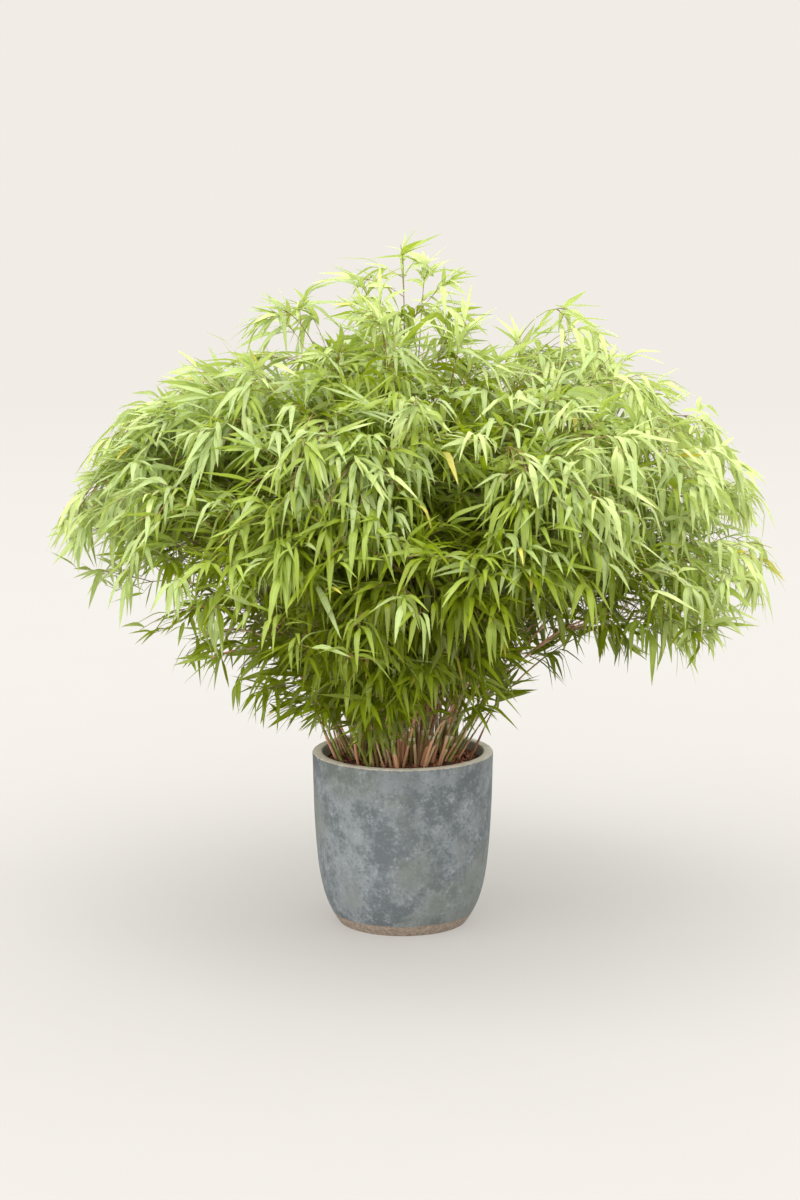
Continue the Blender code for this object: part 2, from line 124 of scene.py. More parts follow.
FILL_TURN = 0.55  # a thinner cane's turn from its mass's leading one, in shares of the step between masses
FILL_LIFT = (-0.16, 0.0)  # of its tip from the leading cane's
FILL_LIFTS = {"top": (-0.18, 0.03), "shoulder": (-0.20, 0.10), "canopy": (-0.18, 0.12)}
FILL_ON_TOP = (0.84, 1.0)  # how near to the crown's rounded top it ends in those tiers
FILL_SHARE = (0.70, 1.02)  # of the leading cane's reach in the other tiers
CREST_SHARE = (1.0, 5.0)

CANE_DEPTH = 0.015  # how far inside the crown's outline a cane ends
BARE_TIP = 0.01  # how far a thinner cane may stand out of the leaves
BARE_LEADING_TIP = 0.06  # and a leading one
LOOSE_HEM = 0.20  # how much further they may on the -X side, below
LOOSE_SIDE = (0.0, 0.3)
LOOSE_HEIGHT = (-1.0, -0.9)
LEAST_LEADING_POINTS = 60  # a leading cane keeps these points, even where no leaves stand

YOUNG_FOOT = 0.125
YOUNG_SPLAY = (1.0, 1.6)
YOUNG_HEIGHT = (0.60, 0.90)
YOUNG_SWAY = 0.012

GOLDEN_TURN = math.radians(137.5)
SEED = 11


def polar(distance, azimuth, height):
    return Vector((distance * math.cos(azimuth), distance * math.sin(azimuth), height))


def from_crown_axis(distance, azimuth, height):
    return polar(distance, azimuth, height) + Vector((CROWN_SHIFT, 0, 0))


def bezier(start, rise, arch, end, pieces):
    """Points along a cubic curve."""
    points = []
    for step in range(pieces + 1):
        t = step / pieces
        s = 1 - t
        points.append(start * s**3 + rise * (3 * s * s * t) + arch * (3 * s * t * t) + end * t**3)
    return points


def clear_of(line, others, room):
    """Whether the line keeps that much room from all the other lines."""
    here = np.array(line)[:, None, :]
    apart = [((here - np.array(other)[None, :, :]) ** 2).sum(axis=2).min() for other in others]
    return min(apart, default=math.inf) > room * room


def crown_top(points):
    """The height of the crown's rounded top over each point's place."""
    out = np.hypot(points[:, 0] - CROWN_SHIFT, points[:, 1])
    share = np.minimum(1.0, out / CROWN_REACH)
    top = WIDEST_HEIGHT + (CROWN_TOP - WIDEST_HEIGHT) * (1 - share**TOP_ROUNDNESS) ** TOP_FALL
    return top + SPIRE_HEIGHT * np.maximum(0.0, 1 - out / SPIRE_REACH)


def reach_at(height):
    """How far the crown's rounded top reaches from its axis at that height."""
    rise = min(1.0, max(0.0, (height - WIDEST_HEIGHT) / (CROWN_TOP - WIDEST_HEIGHT)))
    return CROWN_REACH * (1 - rise ** (1 / TOP_FALL)) ** (1 / TOP_ROUNDNESS)


def crown_hem(points):
    """The height of the crown's lower edge at each point's place."""
    out = np.hypot(points[:, 0] - CROWN_SHIFT, points[:, 1])
    hem = HEM_HEIGHT + HEM_SLOPE * np.maximum(0.0, out - HEM_RADIUS)
    hem -= SIDE_DROOP * points[:, 0] / CROWN_REACH
    return np.maximum(hem, BARE_HEIGHT - BARE_SLOPE * out)


def inside_outline(points):
    """How far each point lies inside the crown's outline."""
    out = np.hypot(points[:, 0] - CROWN_SHIFT, points[:, 1])
    height = points[:, 2]
    return np.minimum.reduce([crown_top(points) - height, height - crown_hem(points), CROWN_REACH - out])


class Mass:
    """A mass of foliage: its middle, its space among the other masses, and its cane's line."""

    def __init__(self, tier, number):
        self.tier = tier
        self.sizes = TIERS[tier]
        self.name = f"{tier}_{number + 1}"
        self.azimuth = math.radians(self.sizes.turn + 360 * number / self.sizes.count)
        self.drop = -SIDE_DROOP * self.sizes.out / CROWN_REACH * math.cos(self.azimuth)
        self.middle = from_crown_axis(self.sizes.out, self.azimuth, self.sizes.height + self.drop)

    def divide(self, masses):
        """The space ends half way to each other mass's middle."""
        others = np.array([mass.middle for mass in masses if mass is not self])
        middle = np.array(self.middle)
        self.away = (others - middle) / np.linalg.norm(others - middle, axis=1, keepdims=True)
        self.borders = (self.away * (others + middle) / 2).sum(axis=1)

    def inside(self, points, beyond=0.0):
        """How far inside the mass's space each point is. It may reach that far beyond its borders."""
        within = (self.borders - points @ self.away.T).min(axis=1)
        return np.minimum(within + beyond, inside_outline(points))

    def route(self, rng, turn=0.0, share=1.0, lift=0.0):
        """One try at a cane's line: up from the mulch, over, and out to the tip."""
        sizes = self.sizes
        azimuth = self.azimuth + turn
        foot = polar(
            sizes.foot + rng.uniform(-FOOT_SCATTER, FOOT_SCATTER),
            azimuth + rng.uniform(-FOOT_TURN, FOOT_TURN),
            MULCH_LEVEL + CLEARANCE,
        )
        rise = foot + polar(
            RISE_OUT * sizes.out * share,
            azimuth + rng.uniform(-FOOT_TURN, FOOT_TURN),
            RISE_HEIGHT * (sizes.height - MULCH_LEVEL),
        )
        top = sizes.tip_height + self.drop + lift
        tip = from_crown_axis(sizes.tip_out * share, azimuth + rng.uniform(-TIP_TURN, TIP_TURN), top)
        arch = from_crown_axis(ARCH_OUT * sizes.out * share, azimuth, top + ARCH_LIFT * sizes.tip_out)
        return bezier(foot, rise, arch, tip, LINE_POINTS)


def core_line(number, taken, rng):
    """An upright cane in a gap of the clump."""
    azimuth = GOLDEN_TURN * number
    out = CORE_FOOT * math.sqrt((number + 0.5) / CORE_CANES)
    for _ in range(CORE_TRIES):
        aside = (rng.uniform(-CORE_SCATTER, CORE_SCATTER), rng.uniform(-CORE_SCATTER, CORE_SCATTER), 0)
        foot = polar(out, azimuth, MULCH_LEVEL + CLEARANCE) + Vector(aside)
        lean = polar(rng.uniform(*CORE_LEAN) * out, azimuth + rng.uniform(-CORE_TURN, CORE_TURN), 0)
        height = CORE_HEIGHT + rng.uniform(*CORE_HEIGHT_SCATTER)
        top = foot + lean + Vector((0, 0, height - foot.z))
        arch = foot.lerp(top, CURVE_ARCH) + lean * CORE_BOW
        line = bezier(foot, foot.lerp(top, CURVE_RISE), arch, top, CORE_POINTS)
        if clear_of(line, taken, CANE_ROOM):
            return line
    raise RuntimeError("no room for a core cane")


def fill_line(mass, rng):
    """A thinner cane beside the mass's leading one."""
    turn = rng.uniform(-FILL_TURN, FILL_TURN) * 2 * math.pi / mass.sizes.count
    lift = rng.uniform(*FILL_LIFTS.get(mass.tier, FILL_LIFT))
    if mass.tier in FILL_LIFTS:
        reach = reach_at(mass.sizes.tip_height + mass.drop + lift)
        share = rng.uniform(*FILL_ON_TOP) * reach / mass.sizes.tip_out
    else:
        share = rng.uniform(*(CREST_SHARE if mass.tier == "crest" else FILL_SHARE))
    return mass.route(rng, turn, share, lift)


def young_line(number, count, rng):
    """A thin upright cane in the thick of the clump."""
    azimuth = GOLDEN_TURN * (number + 0.5)
    foot = polar(YOUNG_FOOT * math.sqrt((number + 0.5) / count), azimuth, MULCH_LEVEL + CLEARANCE)
    top = foot * rng.uniform(*YOUNG_SPLAY)
    top.z = rng.uniform(*YOUNG_HEIGHT)
    sway = Vector((rng.uniform(-YOUNG_SWAY, YOUNG_SWAY), rng.uniform(-YOUNG_SWAY, YOUNG_SWAY), 0))
    rise, arch = foot.lerp(top, CURVE_RISE) + sway, foot.lerp(top, CURVE_ARCH) - sway
    return bezier(foot, rise, arch, top + sway, CORE_POINTS)


def trimmed(line, bare, least=0):
    """The cane's line, cut where it leaves the crown or stands further than bare out of the leaves."""
    loose = LOOSE_HEM * ramp(-line[:, 0], *LOOSE_SIDE) * ramp(-line[:, 2], *LOOSE_HEIGHT)
    inside = (inside_outline(line) > CANE_DEPTH) & (leafy_depth(line) > -bare - loose)
    inside[:least] = True
    last = np.flatnonzero(inside)
    return line[: last[-1] + 1 if len(last) else 0]


def plan_crown(fill_canes, young_canes):
    """The masses, the lines of the leading and core canes, and those of the thinner canes."""
    rng = random.Random(SEED)
    masses = [Mass(tier, number) for tier, sizes in TIERS.items() for number in range(sizes.count)]
    lines = []
    for mass in masses:
        mass.divide(masses)
        tries = (mass.route(rng) for _ in range(LINE_TRIES))
        lines.append(next(line for line in tries if clear_of(line, lines, CANE_ROOM)))
    for number in range(CORE_CANES):
        lines.append(core_line(number, lines, rng))
    leading = [trimmed(np.array(line), BARE_LEADING_TIP, LEAST_LEADING_POINTS) for line in lines]
    rng = random.Random(SEED + 1)
    fill = []
    for mass in masses:
        count = TIER_FILL_CANES.get(mass.tier, fill_canes)
        fill += [trimmed(np.array(fill_line(mass, rng)), BARE_TIP) for _ in range(count)]
    fill = [line for line in fill if len(line)]
    fill += [np.array(young_line(number, young_canes, rng)) for number in range(young_canes)]
    return masses, leading, fill


# ---------------------------------------------------------------- meshes from arrays


class Build:
    """Gathers arrays of corners and faces, and makes one mesh of them."""

    def __init__(self):
        self.corners = []
        self.faces = []
        self.count = 0

    def add(self, corners, faces, places, kinds):
        """Adds corners and faces, and returns the first corner's number.

        Each row of faces holds corner numbers, places has their places on the surface, and kinds has each
        face's material.
        """
        first = self.count
        self.corners.append(corners.reshape(-1, 3))
        self.faces.append((faces + first, places, kinds))
        self.count += len(self.corners[-1])
        return first

    def piece(self, name, materials, smooth=True):
        mesh = bpy.data.meshes.new(name)
        mesh.vertices.add(self.count)
        mesh.vertices.foreach_set("co", np.concatenate(self.corners).astype(np.float32).ravel())
        sizes = np.concatenate([np.full(len(faces), faces.shape[1]) for faces, _, _ in self.faces])
        indices = np.concatenate([faces.ravel() for faces, _, _ in self.faces])
        places = np.concatenate([places.reshape(-1) for _, places, _ in self.faces])
        kinds = np.concatenate([kinds for _, _, kinds in self.faces])
        mesh.loops.add(int(sizes.sum()))
        mesh.loops.foreach_set("vertex_index", indices.astype(np.int32))
        mesh.polygons.add(len(sizes))
        mesh.polygons.foreach_set("loop_start", (np.cumsum(sizes) - sizes).astype(np.int32))
        mesh.polygons.foreach_set("material_index", kinds.astype(np.int32))
        mesh.uv_layers.new(name="surface").data.foreach_set("uv", places.astype(np.float32))
        for material in materials:
            mesh.materials.append(material)
        mesh.update(calc_edges=True)
        mesh.validate()
        if smooth:
            mesh.shade_smooth()
        made = bpy.data.objects.new(name, mesh)
        bpy.context.scene.collection.objects.link(made)
        return made


def unit(vectors):
    return vectors / np.maximum(np.linalg.norm(vectors, axis=-1, keepdims=True), 1e-9)


def between_rings(rings, sides, first=0):
    """The corner numbers of the faces between rings that follow one another, of that many corners each."""
    low = np.asarray(first)[..., None, None] + (np.arange(rings - 1) * sides)[:, None]
    near = low + np.arange(sides)
    after = low + (np.arange(sides) + 1) % sides
    return np.stack([near, after, after + sides, near + sides], axis=-1).reshape(-1, 4)


def places_between(along, sides):
    """Those faces' surface places: from 0 to 1 round each ring, and along as given for each ring."""
    low, high = np.arange(sides) / sides, (np.arange(sides) + 1) / sides
    below, above = along[..., :-1, None], along[..., 1:, None]
    places = []
    for spot in ((low, below), (high, below), (high, above), (low, above)):
        places.append(np.stack(np.broadcast_arrays(*spot), axis=-1))
    return np.stack(places, axis=-2).reshape(-1, 4, 2)


def ways_of(heading, pitch):
    """Unit vectors along the headings that rise by the pitches."""
    level = np.cos(pitch)
    return np.stack([level * np.cos(heading), level * np.sin(heading), np.sin(pitch)], axis=-1)


def add_tubes(build, paths, radii, sides, along, kinds):
    """Capped tubes along K paths of P points. along is each ring's place along its tube."""
    count, rings, _ = paths.shape
    ways = np.empty_like(paths)
    ways[:, 1:-1] = paths[:, 2:] - paths[:, :-2]
    ways[:, 0] = paths[:, 1] - paths[:, 0]
    ways[:, -1] = paths[:, -1] - paths[:, -2]
    ways = unit(ways)
    start = np.where(np.abs(ways[:, :1, 0:1]) < 0.8, np.array([1.0, 0, 0]), np.array([0, 1.0, 0]))
    across = unit(start - ways * (start * ways).sum(axis=-1, keepdims=True))
    other = np.cross(ways, across)
    turn = 2 * np.pi * np.arange(sides) / sides
    ring = across[:, :, None] * np.cos(turn)[:, None] + other[:, :, None] * np.sin(turn)[:, None]
    corners = paths[:, :, None] + ring * radii[:, :, None, None]
    tubes = np.arange(count) * rings * sides
    faces = between_rings(rings, sides, tubes)
    start = build.add(corners, faces, places_between(along, sides), np.repeat(kinds, (rings - 1) * sides))
    first = tubes[:, None] + np.arange(sides)[::-1]
    last = tubes[:, None] + (rings - 1) * sides + np.arange(sides)
    for caps, edge in ((first, along[:, 0]), (last, along[:, -1])):
        places = np.stack([np.full(caps.shape, 0.5), np.broadcast_to(edge[:, None], caps.shape)], axis=-1)
        build.faces.append((caps + start, places, kinds))


LEAF_RINGS = np.array([0.0, 0.09, 0.24, 0.38, 0.70])
LEAF_HALF_WIDTHS = np.array([0.10, 0.66, 1.0, 0.98, 0.56])
LEAF_KINK = 0.28  # the place along the blade where it folds over
KINK_LENGTH = 0.05
KINK_SHARE = 0.78  # of the whole bend
LEAF_FOLD = 0.22  # how far the blade's edges stand above its midrib, in shares of its half width


def add_leaves(build, leaves, kinds):
    """Narrow folded blades that arch over and hang. leaves holds an array for each property."""
    count = len(leaves["root"])
    rings = len(LEAF_RINGS)
    stations = np.append(LEAF_RINGS, 1.0)
    middles = (stations[1:] + stations[:-1]) / 2
    fall = KINK_SHARE / (1 + np.exp(-(middles - LEAF_KINK) / KINK_LENGTH)) + (1 - KINK_SHARE) * middles
    pitch = leaves["pitch"][:, None] - leaves["bend"][:, None] * fall
    heading = leaves["heading"][:, None] + leaves["sway"][:, None] * middles
    ways = ways_of(heading, pitch)
    steps = ways * np.diff(stations)[None, :, None] * leaves["length"][:, None, None]
    walked = np.concatenate([np.zeros((count, 1, 3)), np.cumsum(steps, axis=1)], axis=1)
    spine = leaves["root"][:, None] + walked
    bisectors = unit(ways[:, 1:] + ways[:, :-1])
    along = unit(np.concatenate([ways[:, :1], bisectors, ways[:, -1:]], axis=1))[:, :rings]
    level = np.stack([-np.sin(heading), np.cos(heading), np.zeros_like(heading)], axis=-1)[:, :rings]
    above = np.cross(along, level)
    roll = (leaves["roll"][:, None] + leaves["twist"][:, None] * LEAF_RINGS)[..., None]
    side = level * np.cos(roll) + above * np.sin(roll)
    lift = np.cross(along, side)
    half = (leaves["width"][:, None] / 2 * LEAF_HALF_WIDTHS)[..., None]
    left = spine[:, :rings] - side * half + lift * half * LEAF_FOLD
    right = spine[:, :rings] + side * half + lift * half * LEAF_FOLD
    blade = np.stack([left, spine[:, :rings], right], axis=2).reshape(count, -1, 3)
    corners = np.concatenate([blade, spine[:, rings:]], axis=1)
    per = rings * 3 + 1
    quads = []
    spots = []
    for ring in range(rings - 1):
        for half_side in range(2):
            low = ring * 3 + half_side
            quads.append([low, low + 1, low + 4, low + 3])
            u, v, w = half_side / 2, LEAF_RINGS[ring], LEAF_RINGS[ring + 1]
            spots.append([[u, v], [u + 0.5, v], [u + 0.5, w], [u, w]])
    tips = [[rings * 3 - 3, rings * 3 - 2, rings * 3], [rings * 3 - 2, rings * 3 - 1, rings * 3]]
    last = LEAF_RINGS[-1]
    tip_spots = [[[0, last], [0.5, last], [0.5, 1]], [[0.5, last], [1, last], [0.5, 1]]]
    start = (np.arange(count) * per)[:, None, None]
    quads = (start + np.array(quads)).reshape(-1, 4)
    tips = (start + np.array(tips)).reshape(-1, 3)
    places = np.tile(np.array(spots, float), (count, 1, 1, 1)).reshape(-1, 4, 2)
    first = build.add(corners, quads, places, np.repeat(kinds, 2 * (rings - 1)))
    tip_places = np.tile(np.array(tip_spots, float), (count, 1, 1, 1)).reshape(-1, 3, 2)
    build.faces.append((tips + first, tip_places, np.repeat(kinds, 2)))


# ---------------------------------------------------------------- shaders as expressions


class Link:
    """An output socket. Arithmetic on it adds Math nodes, and node() adds any other node."""

    def __init__(self, tree, socket=None):
        self.tree = tree
        self.socket = socket

    def node(self, kind, settings=None, values=None, output=0):
        """A node of that type, its settings, and the values or links of its sockets."""
        made = self.tree.nodes.new(kind)
        for name, value in (settings or {}).items():
            setattr(made, name, value)
        for name, value in (values or {}).items():
            if isinstance(value, Link):
                self.tree.links.new(value.socket, made.inputs[name])
            else:
                made.inputs[name].default_value = value
        return Link(self.tree, made.outputs[output])

    def maths(self, operation, first, second=0.0):
        return self.node("ShaderNodeMath", {"operation": operation}, {0: first, 1: second})

    def __add__(self, other):
        return self.maths("ADD", self, other)

    __radd__ = __add__

    def __mul__(self, other):
        return self.maths("MULTIPLY", self, other)

    def __sub__(self, other):
        return self.maths("SUBTRACT", self, other)

    def __rsub__(self, other):
        return self.maths("SUBTRACT", other, self)

    def size(self):
        return self.maths("ABSOLUTE", self)

    def band(self, low, high):
        """0 below low, 1 above high and smooth between."""
        values = {"Value": self, "From Min": low, "From Max": high}
        return self.node("ShaderNodeMapRange", {"interpolation_type": "SMOOTHSTEP"}, values)

    def between(self, first, second):
        """The colour this share of the way from the first to the second, each a link or a plain colour."""
        colours = {0: self}
        for socket, colour in ((6, first), (7, second)):
            colours[socket] = colour if isinstance(colour, Link) else colour4(colour)
        return self.node("ShaderNodeMix", {"data_type": "RGBA", "clamp_factor": True}, colours, 2)

    def noise(self, scale, detail=3.0, roughness=0.5, stretch=None):
        """Noise over the coordinates in this link."""
        place = self.vector("MULTIPLY", stretch) if stretch else self
        values = {"Vector": place, "Scale": scale, "Detail": detail, "Roughness": roughness}
        return self.node("ShaderNodeTexNoise", {}, values)

    def vector(self, operation, second=None, output=0):
        """A Vector Math node on this link."""
        values = {0: self} if second is None else {0: self, 1: second}
        return self.node("ShaderNodeVectorMath", {"operation": operation}, values, output)

    def part(self, axis):
        """One of the numbers in the vector in this link."""
        return self.node("ShaderNodeSeparateXYZ", {}, {0: self}, axis)


def srgb(red, green, blue):
    """A linear colour from the usual 0 to 255 numbers."""
    shares = (red / 255, green / 255, blue / 255)
    return tuple(c / 12.92 if c <= 10 / 255 else ((c + 0.055) / 1.055) ** 2.4 for c in shares)


def dimmed(colour, share):
    return tuple(c * share for c in colour)


def colour4(values):
    return (*values, 1.0)


def shaded(name, paint):
    """A material with what paint returns: colour, roughness, height, bump size, and other sockets' values."""
    material = bpy.data.materials.new(name)
    material.use_nodes = True
    tree = material.node_tree
    shader = tree.nodes["Principled BSDF"]
    graph = Link(tree)
    colour, roughness, height, distance, others = paint(graph)
    bump = graph.node("ShaderNodeBump", {}, {"Height": height, "Strength": 1.0, "Distance": distance})
    for socket, value in {"Base Color": colour, "Roughness": roughness, "Normal": bump, **others}.items():
        if isinstance(value, Link):
            tree.links.new(value.socket, shader.inputs[socket])
        else:
            shader.inputs[socket].default_value = value
    return material


def object_place(graph):
    return graph.node("ShaderNodeTexCoord", {}, {}, "Object")


def surface_place(graph):
    """The place on a strip, from its surface map: its first number runs across and its second along."""
    return graph.node("ShaderNodeUVMap", {"uv_map": "surface"})


MIDDLING = (0.35, 0.65)  # the part of a noise's range that holds nearly all of it
CLAY_FOOT = (0.024, 0.029)  # heights over which the bare foot gives way to the wash
RIM_TOP = (POT_HEIGHT - 0.0030, POT_HEIGHT - 0.0006)
RIM_EDGE = 0.2075  # radius of the tan line round the rim
RIM_EDGE_WIDTH = (0.0035, 0.0012)
INSIDE_RADIUS = 0.190
INSIDE_HEIGHT = (0.2, 0.3)


def pot_material(settings):
    """Blue-grey clay wash, clouded by weather, over a bare clay foot and a mottled pale rim top made paler
    still by painted light, and an inside wall lightened by painted light.
    """

    def paint(graph):
        place = object_place(graph)
        height = place.part(2)
        clouds = place.noise(11.0, 5.0, 0.60)
        blots = place.noise(30.0, 5.0, 0.65)
        grain = place.noise(130.0, 4.0, 0.7)
        speck = place.noise(420.0, 2.0, 0.6)
        drips = place.noise(16.0, 4.0, 0.6, (1.0, 1.0, 0.16))
        moss = place.noise(5.0, 3.0, 0.55)
        pale = (clouds * 0.42 + blots * 0.30 + grain * 0.28).band(0.43, 0.57)
        wash = pale.between(settings.dark_wash, settings.pale_wash)
        stain = (drips * 0.5 + clouds * 0.5).band(0.50, 0.62) * 0.45
        wash = stain.between(wash, settings.stain)
        wash = (moss.band(0.48, 0.62) * 0.35).between(wash, settings.moss)
        bloom = (blots * 0.35 + grain * 0.35 + speck * 0.30).band(0.54, 0.64) * 0.55
        wash = bloom.between(wash, settings.bloom)
        ragged = height + (grain - 0.5) * 0.006 + (blots - 0.5) * 0.008
        foot = 1 - ragged.band(*CLAY_FOOT)
        clay = grain.band(*MIDDLING).between(settings.clay, settings.pale_clay)
        colour = foot.between(wash, clay)
        out = place.vector("MULTIPLY", (1.0, 1.0, 0.0)).vector("LENGTH", output="Value")
        # The rim's top is pale, and its two mottled colours are raised further as painted light, so that it
        # stays light in the crown's shade.
        rim = (height + (grain - 0.5) * 0.003).band(*RIM_TOP)
        # Painted light: the wall inside the pot, above the mulch, is set lighter than the outside wash to
        # offset the shade there.
        inner = (INSIDE_RADIUS - out).band(0.0, 0.003) * height.band(*INSIDE_HEIGHT)
        worn = (grain * 0.5 + blots * 0.5).band(0.40, 0.60)
        colour = rim.between(colour, worn.between(settings.rim, settings.pale_lit_rim))
        edge = rim * (out - RIM_EDGE).size().band(*RIM_EDGE_WIDTH) * 0.45
        colour = edge.between(colour, settings.clay_edge)
        colour = inner.between(colour, settings.inside)
        roughness = 0.78 + (grain - 0.5) * 0.25
        relief = grain * 0.5 + speck * 0.2 + blots * 0.6
        return colour, roughness, relief, 0.0011, {"Specular IOR Level": 0.35}

    return shaded("clay_wash", paint)


def two_tone(name, dark, light, coordinates, grain, roughness, relief, shine):
    """A material whose marks, a noise over those coordinates, run between a dark and a light colour."""

    def paint(graph):
        marks = coordinates(graph).noise(*grain)
        colour = marks.band(*MIDDLING).between(dark, light)
        return colour, roughness, marks, relief, {"Specular IOR Level": shine}

    return shaded(name, paint)


def mulch_material():
    return two_tone(
        "damp_mulch", srgb(64, 34, 24), srgb(124, 76, 54), object_place, (140.0, 4.0, 0.6), 0.95, 0.004, 0.2
    )


def bark_material(name, dark, light):
    """A chip of shredded bark: fibrous along its length."""
    return two_tone(name, dark, light, surface_place, (9.0, 4.0, 0.6, (6.0, 1.0, 1.0)), 0.85, 0.0008, 0.25)


def twig_material(name, dark, light):
    return two_tone(name, dark, light, object_place, (160.0, 3.0, 0.6), 0.5, 0.0003, 0.4)


def cane_material(name, dark, light, wax):
    """Smooth cane: fine streaks, a dark line at each joint and pale wax under it."""

    def paint(graph):
        spot = surface_place(graph)
        step = graph.node("ShaderNodeMath", {"operation": "FRACT"}, {0: spot.part(1)})
        streaks = spot.noise(5.0, 3.0, 0.6, (9.0, 0.8, 1.0))
        blotch = object_place(graph).noise(38.0, 3.0, 0.6)
        colour = (streaks * 0.5 + blotch * 0.5).band(0.38, 0.62).between(dark, light)
        waxed = step.band(0.80, 0.93) * (1 - step.band(0.955, 0.965)) * 0.7
        colour = waxed.between(colour, wax)
        ring = step.band(0.965, 0.975) + (1 - step.band(0.012, 0.022))
        colour = (ring * 0.75).between(colour, srgb(74, 52, 30))
        return colour, 0.38 + streaks * 0.2, streaks, 0.0003, {"Specular IOR Level": 0.5}

    return shaded(name, paint)


def sheath_material(name, dark, light):
    """Papery sheath: ribbed along its length, darker at its foot and frayed pale at its lip."""

    def paint(graph):
        spot = surface_place(graph)
        ribs = spot.noise(6.0, 3.0, 0.6, (16.0, 0.5, 1.0))
        colour = ribs.band(*MIDDLING).between(dark, light)
        colour = (spot.part(1).band(0.75, 1.0) * 0.5).between(colour, srgb(214, 190, 158))
        return colour, 0.62, ribs, 0.0005, {"Specular IOR Level": 0.35}

    return shaded(name, paint)


DARK_BLADE = 0.84
BRIGHT_BLADE = 1.16
THROUGH_SHARE = 0.38  # of a leaf's light that comes through it


def leaf_material(name, blade, vein, tip, through, gloss):
    """A thin blade: pale midrib, fine veins, a dry tip, a satin top, and light that comes through."""
    material = bpy.data.materials.new(name)
    material.use_nodes = True
    tree = material.node_tree
    shader = tree.nodes["Principled BSDF"]
    graph = Link(tree)
    spot = surface_place(graph)
    from_rib, along = (spot.part(0) - 0.5).size(), spot.part(1)
    veins = spot.noise(7.0, 2.0, 0.5, (5.0, 0.35, 1.0))
    patches = object_place(graph).noise(26.0, 3.0, 0.55)
    bright = [min(1.0, c) for c in dimmed(blade, BRIGHT_BLADE)]
    colour = (veins * 0.4 + patches * 0.6).band(0.38, 0.62).between(dimmed(blade, DARK_BLADE), bright)
    rib = (1 - from_rib.band(0.02, 0.07)) * (1 - along.band(0.55, 0.95)) * 0.5
    colour = rib.between(colour, vein)
    margin = from_rib.band(0.44, 0.50) * 0.30
    colour = margin.between(colour, vein)
    dry = (along + patches * 0.08).band(0.955, 1.02) * 0.8
    colour = dry.between(colour, tip)
    bump = graph.node("ShaderNodeBump", {}, {"Height": veins, "Strength": 0.5, "Distance": 0.0006})
    roughness = gloss - 0.08 + patches * 0.16
    for socket, value in {"Base Color": colour, "Normal": bump, "Roughness": roughness}.items():
        tree.links.new(value.socket, shader.inputs[socket])
    shader.inputs["Specular IOR Level"].default_value = 0.50
    glow = graph.node("ShaderNodeBsdfTranslucent", {}, {"Color": colour4(through)})
    shaders = {0: THROUGH_SHARE, 1: Link(tree, shader.outputs[0]), 2: glow}
    mixed = graph.node("ShaderNodeMixShader", {}, shaders)
    tree.links.new(mixed.socket, tree.nodes["Material Output"].inputs["Surface"])
    return material


# ---------------------------------------------------------------- settings


def colour_setting(name, description, default):
    return FloatVectorProperty(
        name=name, description=description, default=default, subtype="COLOR", min=0, max=1
    )


def length_setting(name, description, default):
    return FloatProperty(
        name=name, description=description, default=default, unit="LENGTH", min=0, precision=4
    )


def number_setting(name, description, default):
    return FloatProperty(name=name, description=description, default=default, min=0)


def count_setting(name, description, default):
    return IntProperty(name=name, description=description, default=default, min=0)


class PotSettings(bpy.types.PropertyGroup):
    unevenness: length_setting("Unevenness", "How far the hand-finished wall strays from true round", 0.0007)
    dark_wash: colour_setting("Dark wash", "The darker clouds of the wash", srgb(86, 92, 96))
    pale_wash: colour_setting("Pale wash", "The paler clouds of the wash", srgb(120, 126, 130))
    stain: colour_setting("Stain", "Damp stains that run down the wall", srgb(92, 97, 95))
    bloom: colour_setting("Bloom", "Chalky bloom on the wall", srgb(148, 154, 158))
    moss: colour_setting("Moss", "A faint olive film on parts of the wall", srgb(104, 108, 96))
    clay: colour_setting("Clay", "The bare foot band", srgb(118, 104, 92))
    pale_clay: colour_setting("Pale clay", "Dusty places on the foot band", srgb(150, 136, 122))
    # The rim colours are pale, and raised further as painted light so that the rim's top stays light in the
    # crown's shade. The worn rim colour is the paler of the two, mixed in at random.
    rim: colour_setting("Rim", "The rim's flat top", srgb(206, 200, 188))
    pale_lit_rim: colour_setting("Worn rim", "Places where the rim's top is worn", srgb(232, 227, 216))
    clay_edge: colour_setting("Rim edge", "Tan clay that shows at the rim's outer edge", srgb(160, 140, 118))
    # The inside colour is painted light: lighter than the wash, to offset the shade inside the pot.
    inside: colour_setting("Inside", "The wall above the mulch", srgb(160, 162, 152))


class MulchSettings(bpy.types.PropertyGroup):
    chips: count_setting("Chips", "How many bark chips lie on the mulch", 2800)
    heap: length_setting("Heap", "How high the bark is heaped over the root ball", 0.014)
    chip_length: length_setting("Chip length", "Length of a middling chip", 0.017)


class CaneSettings(bpy.types.PropertyGroup):
    fill_canes: count_setting("Fill canes", "Thinner canes beside each leading cane of the outer tiers", 4)
    young_canes: count_setting("Young canes", "Thin upright canes in the thick of the clump", 34)
    thickness: length_setting("Thickness", "A leading cane's thickness at the mulch", 0.0070)
    joint_spacing: length_setting("Joint spacing", "Length between two joints low on a cane", 0.088)
    green: colour_setting("Green cane", "Young canes", srgb(136, 146, 56))
    olive: colour_setting("Olive cane", "Older canes", srgb(126, 110, 54))
    brown: colour_setting("Brown cane", "The oldest canes", srgb(130, 88, 56))
    sheath: colour_setting("Sheath", "Fresh sheaths", srgb(204, 152, 116))
    straw: colour_setting("Straw sheath", "Dry sheaths", srgb(196, 168, 126))


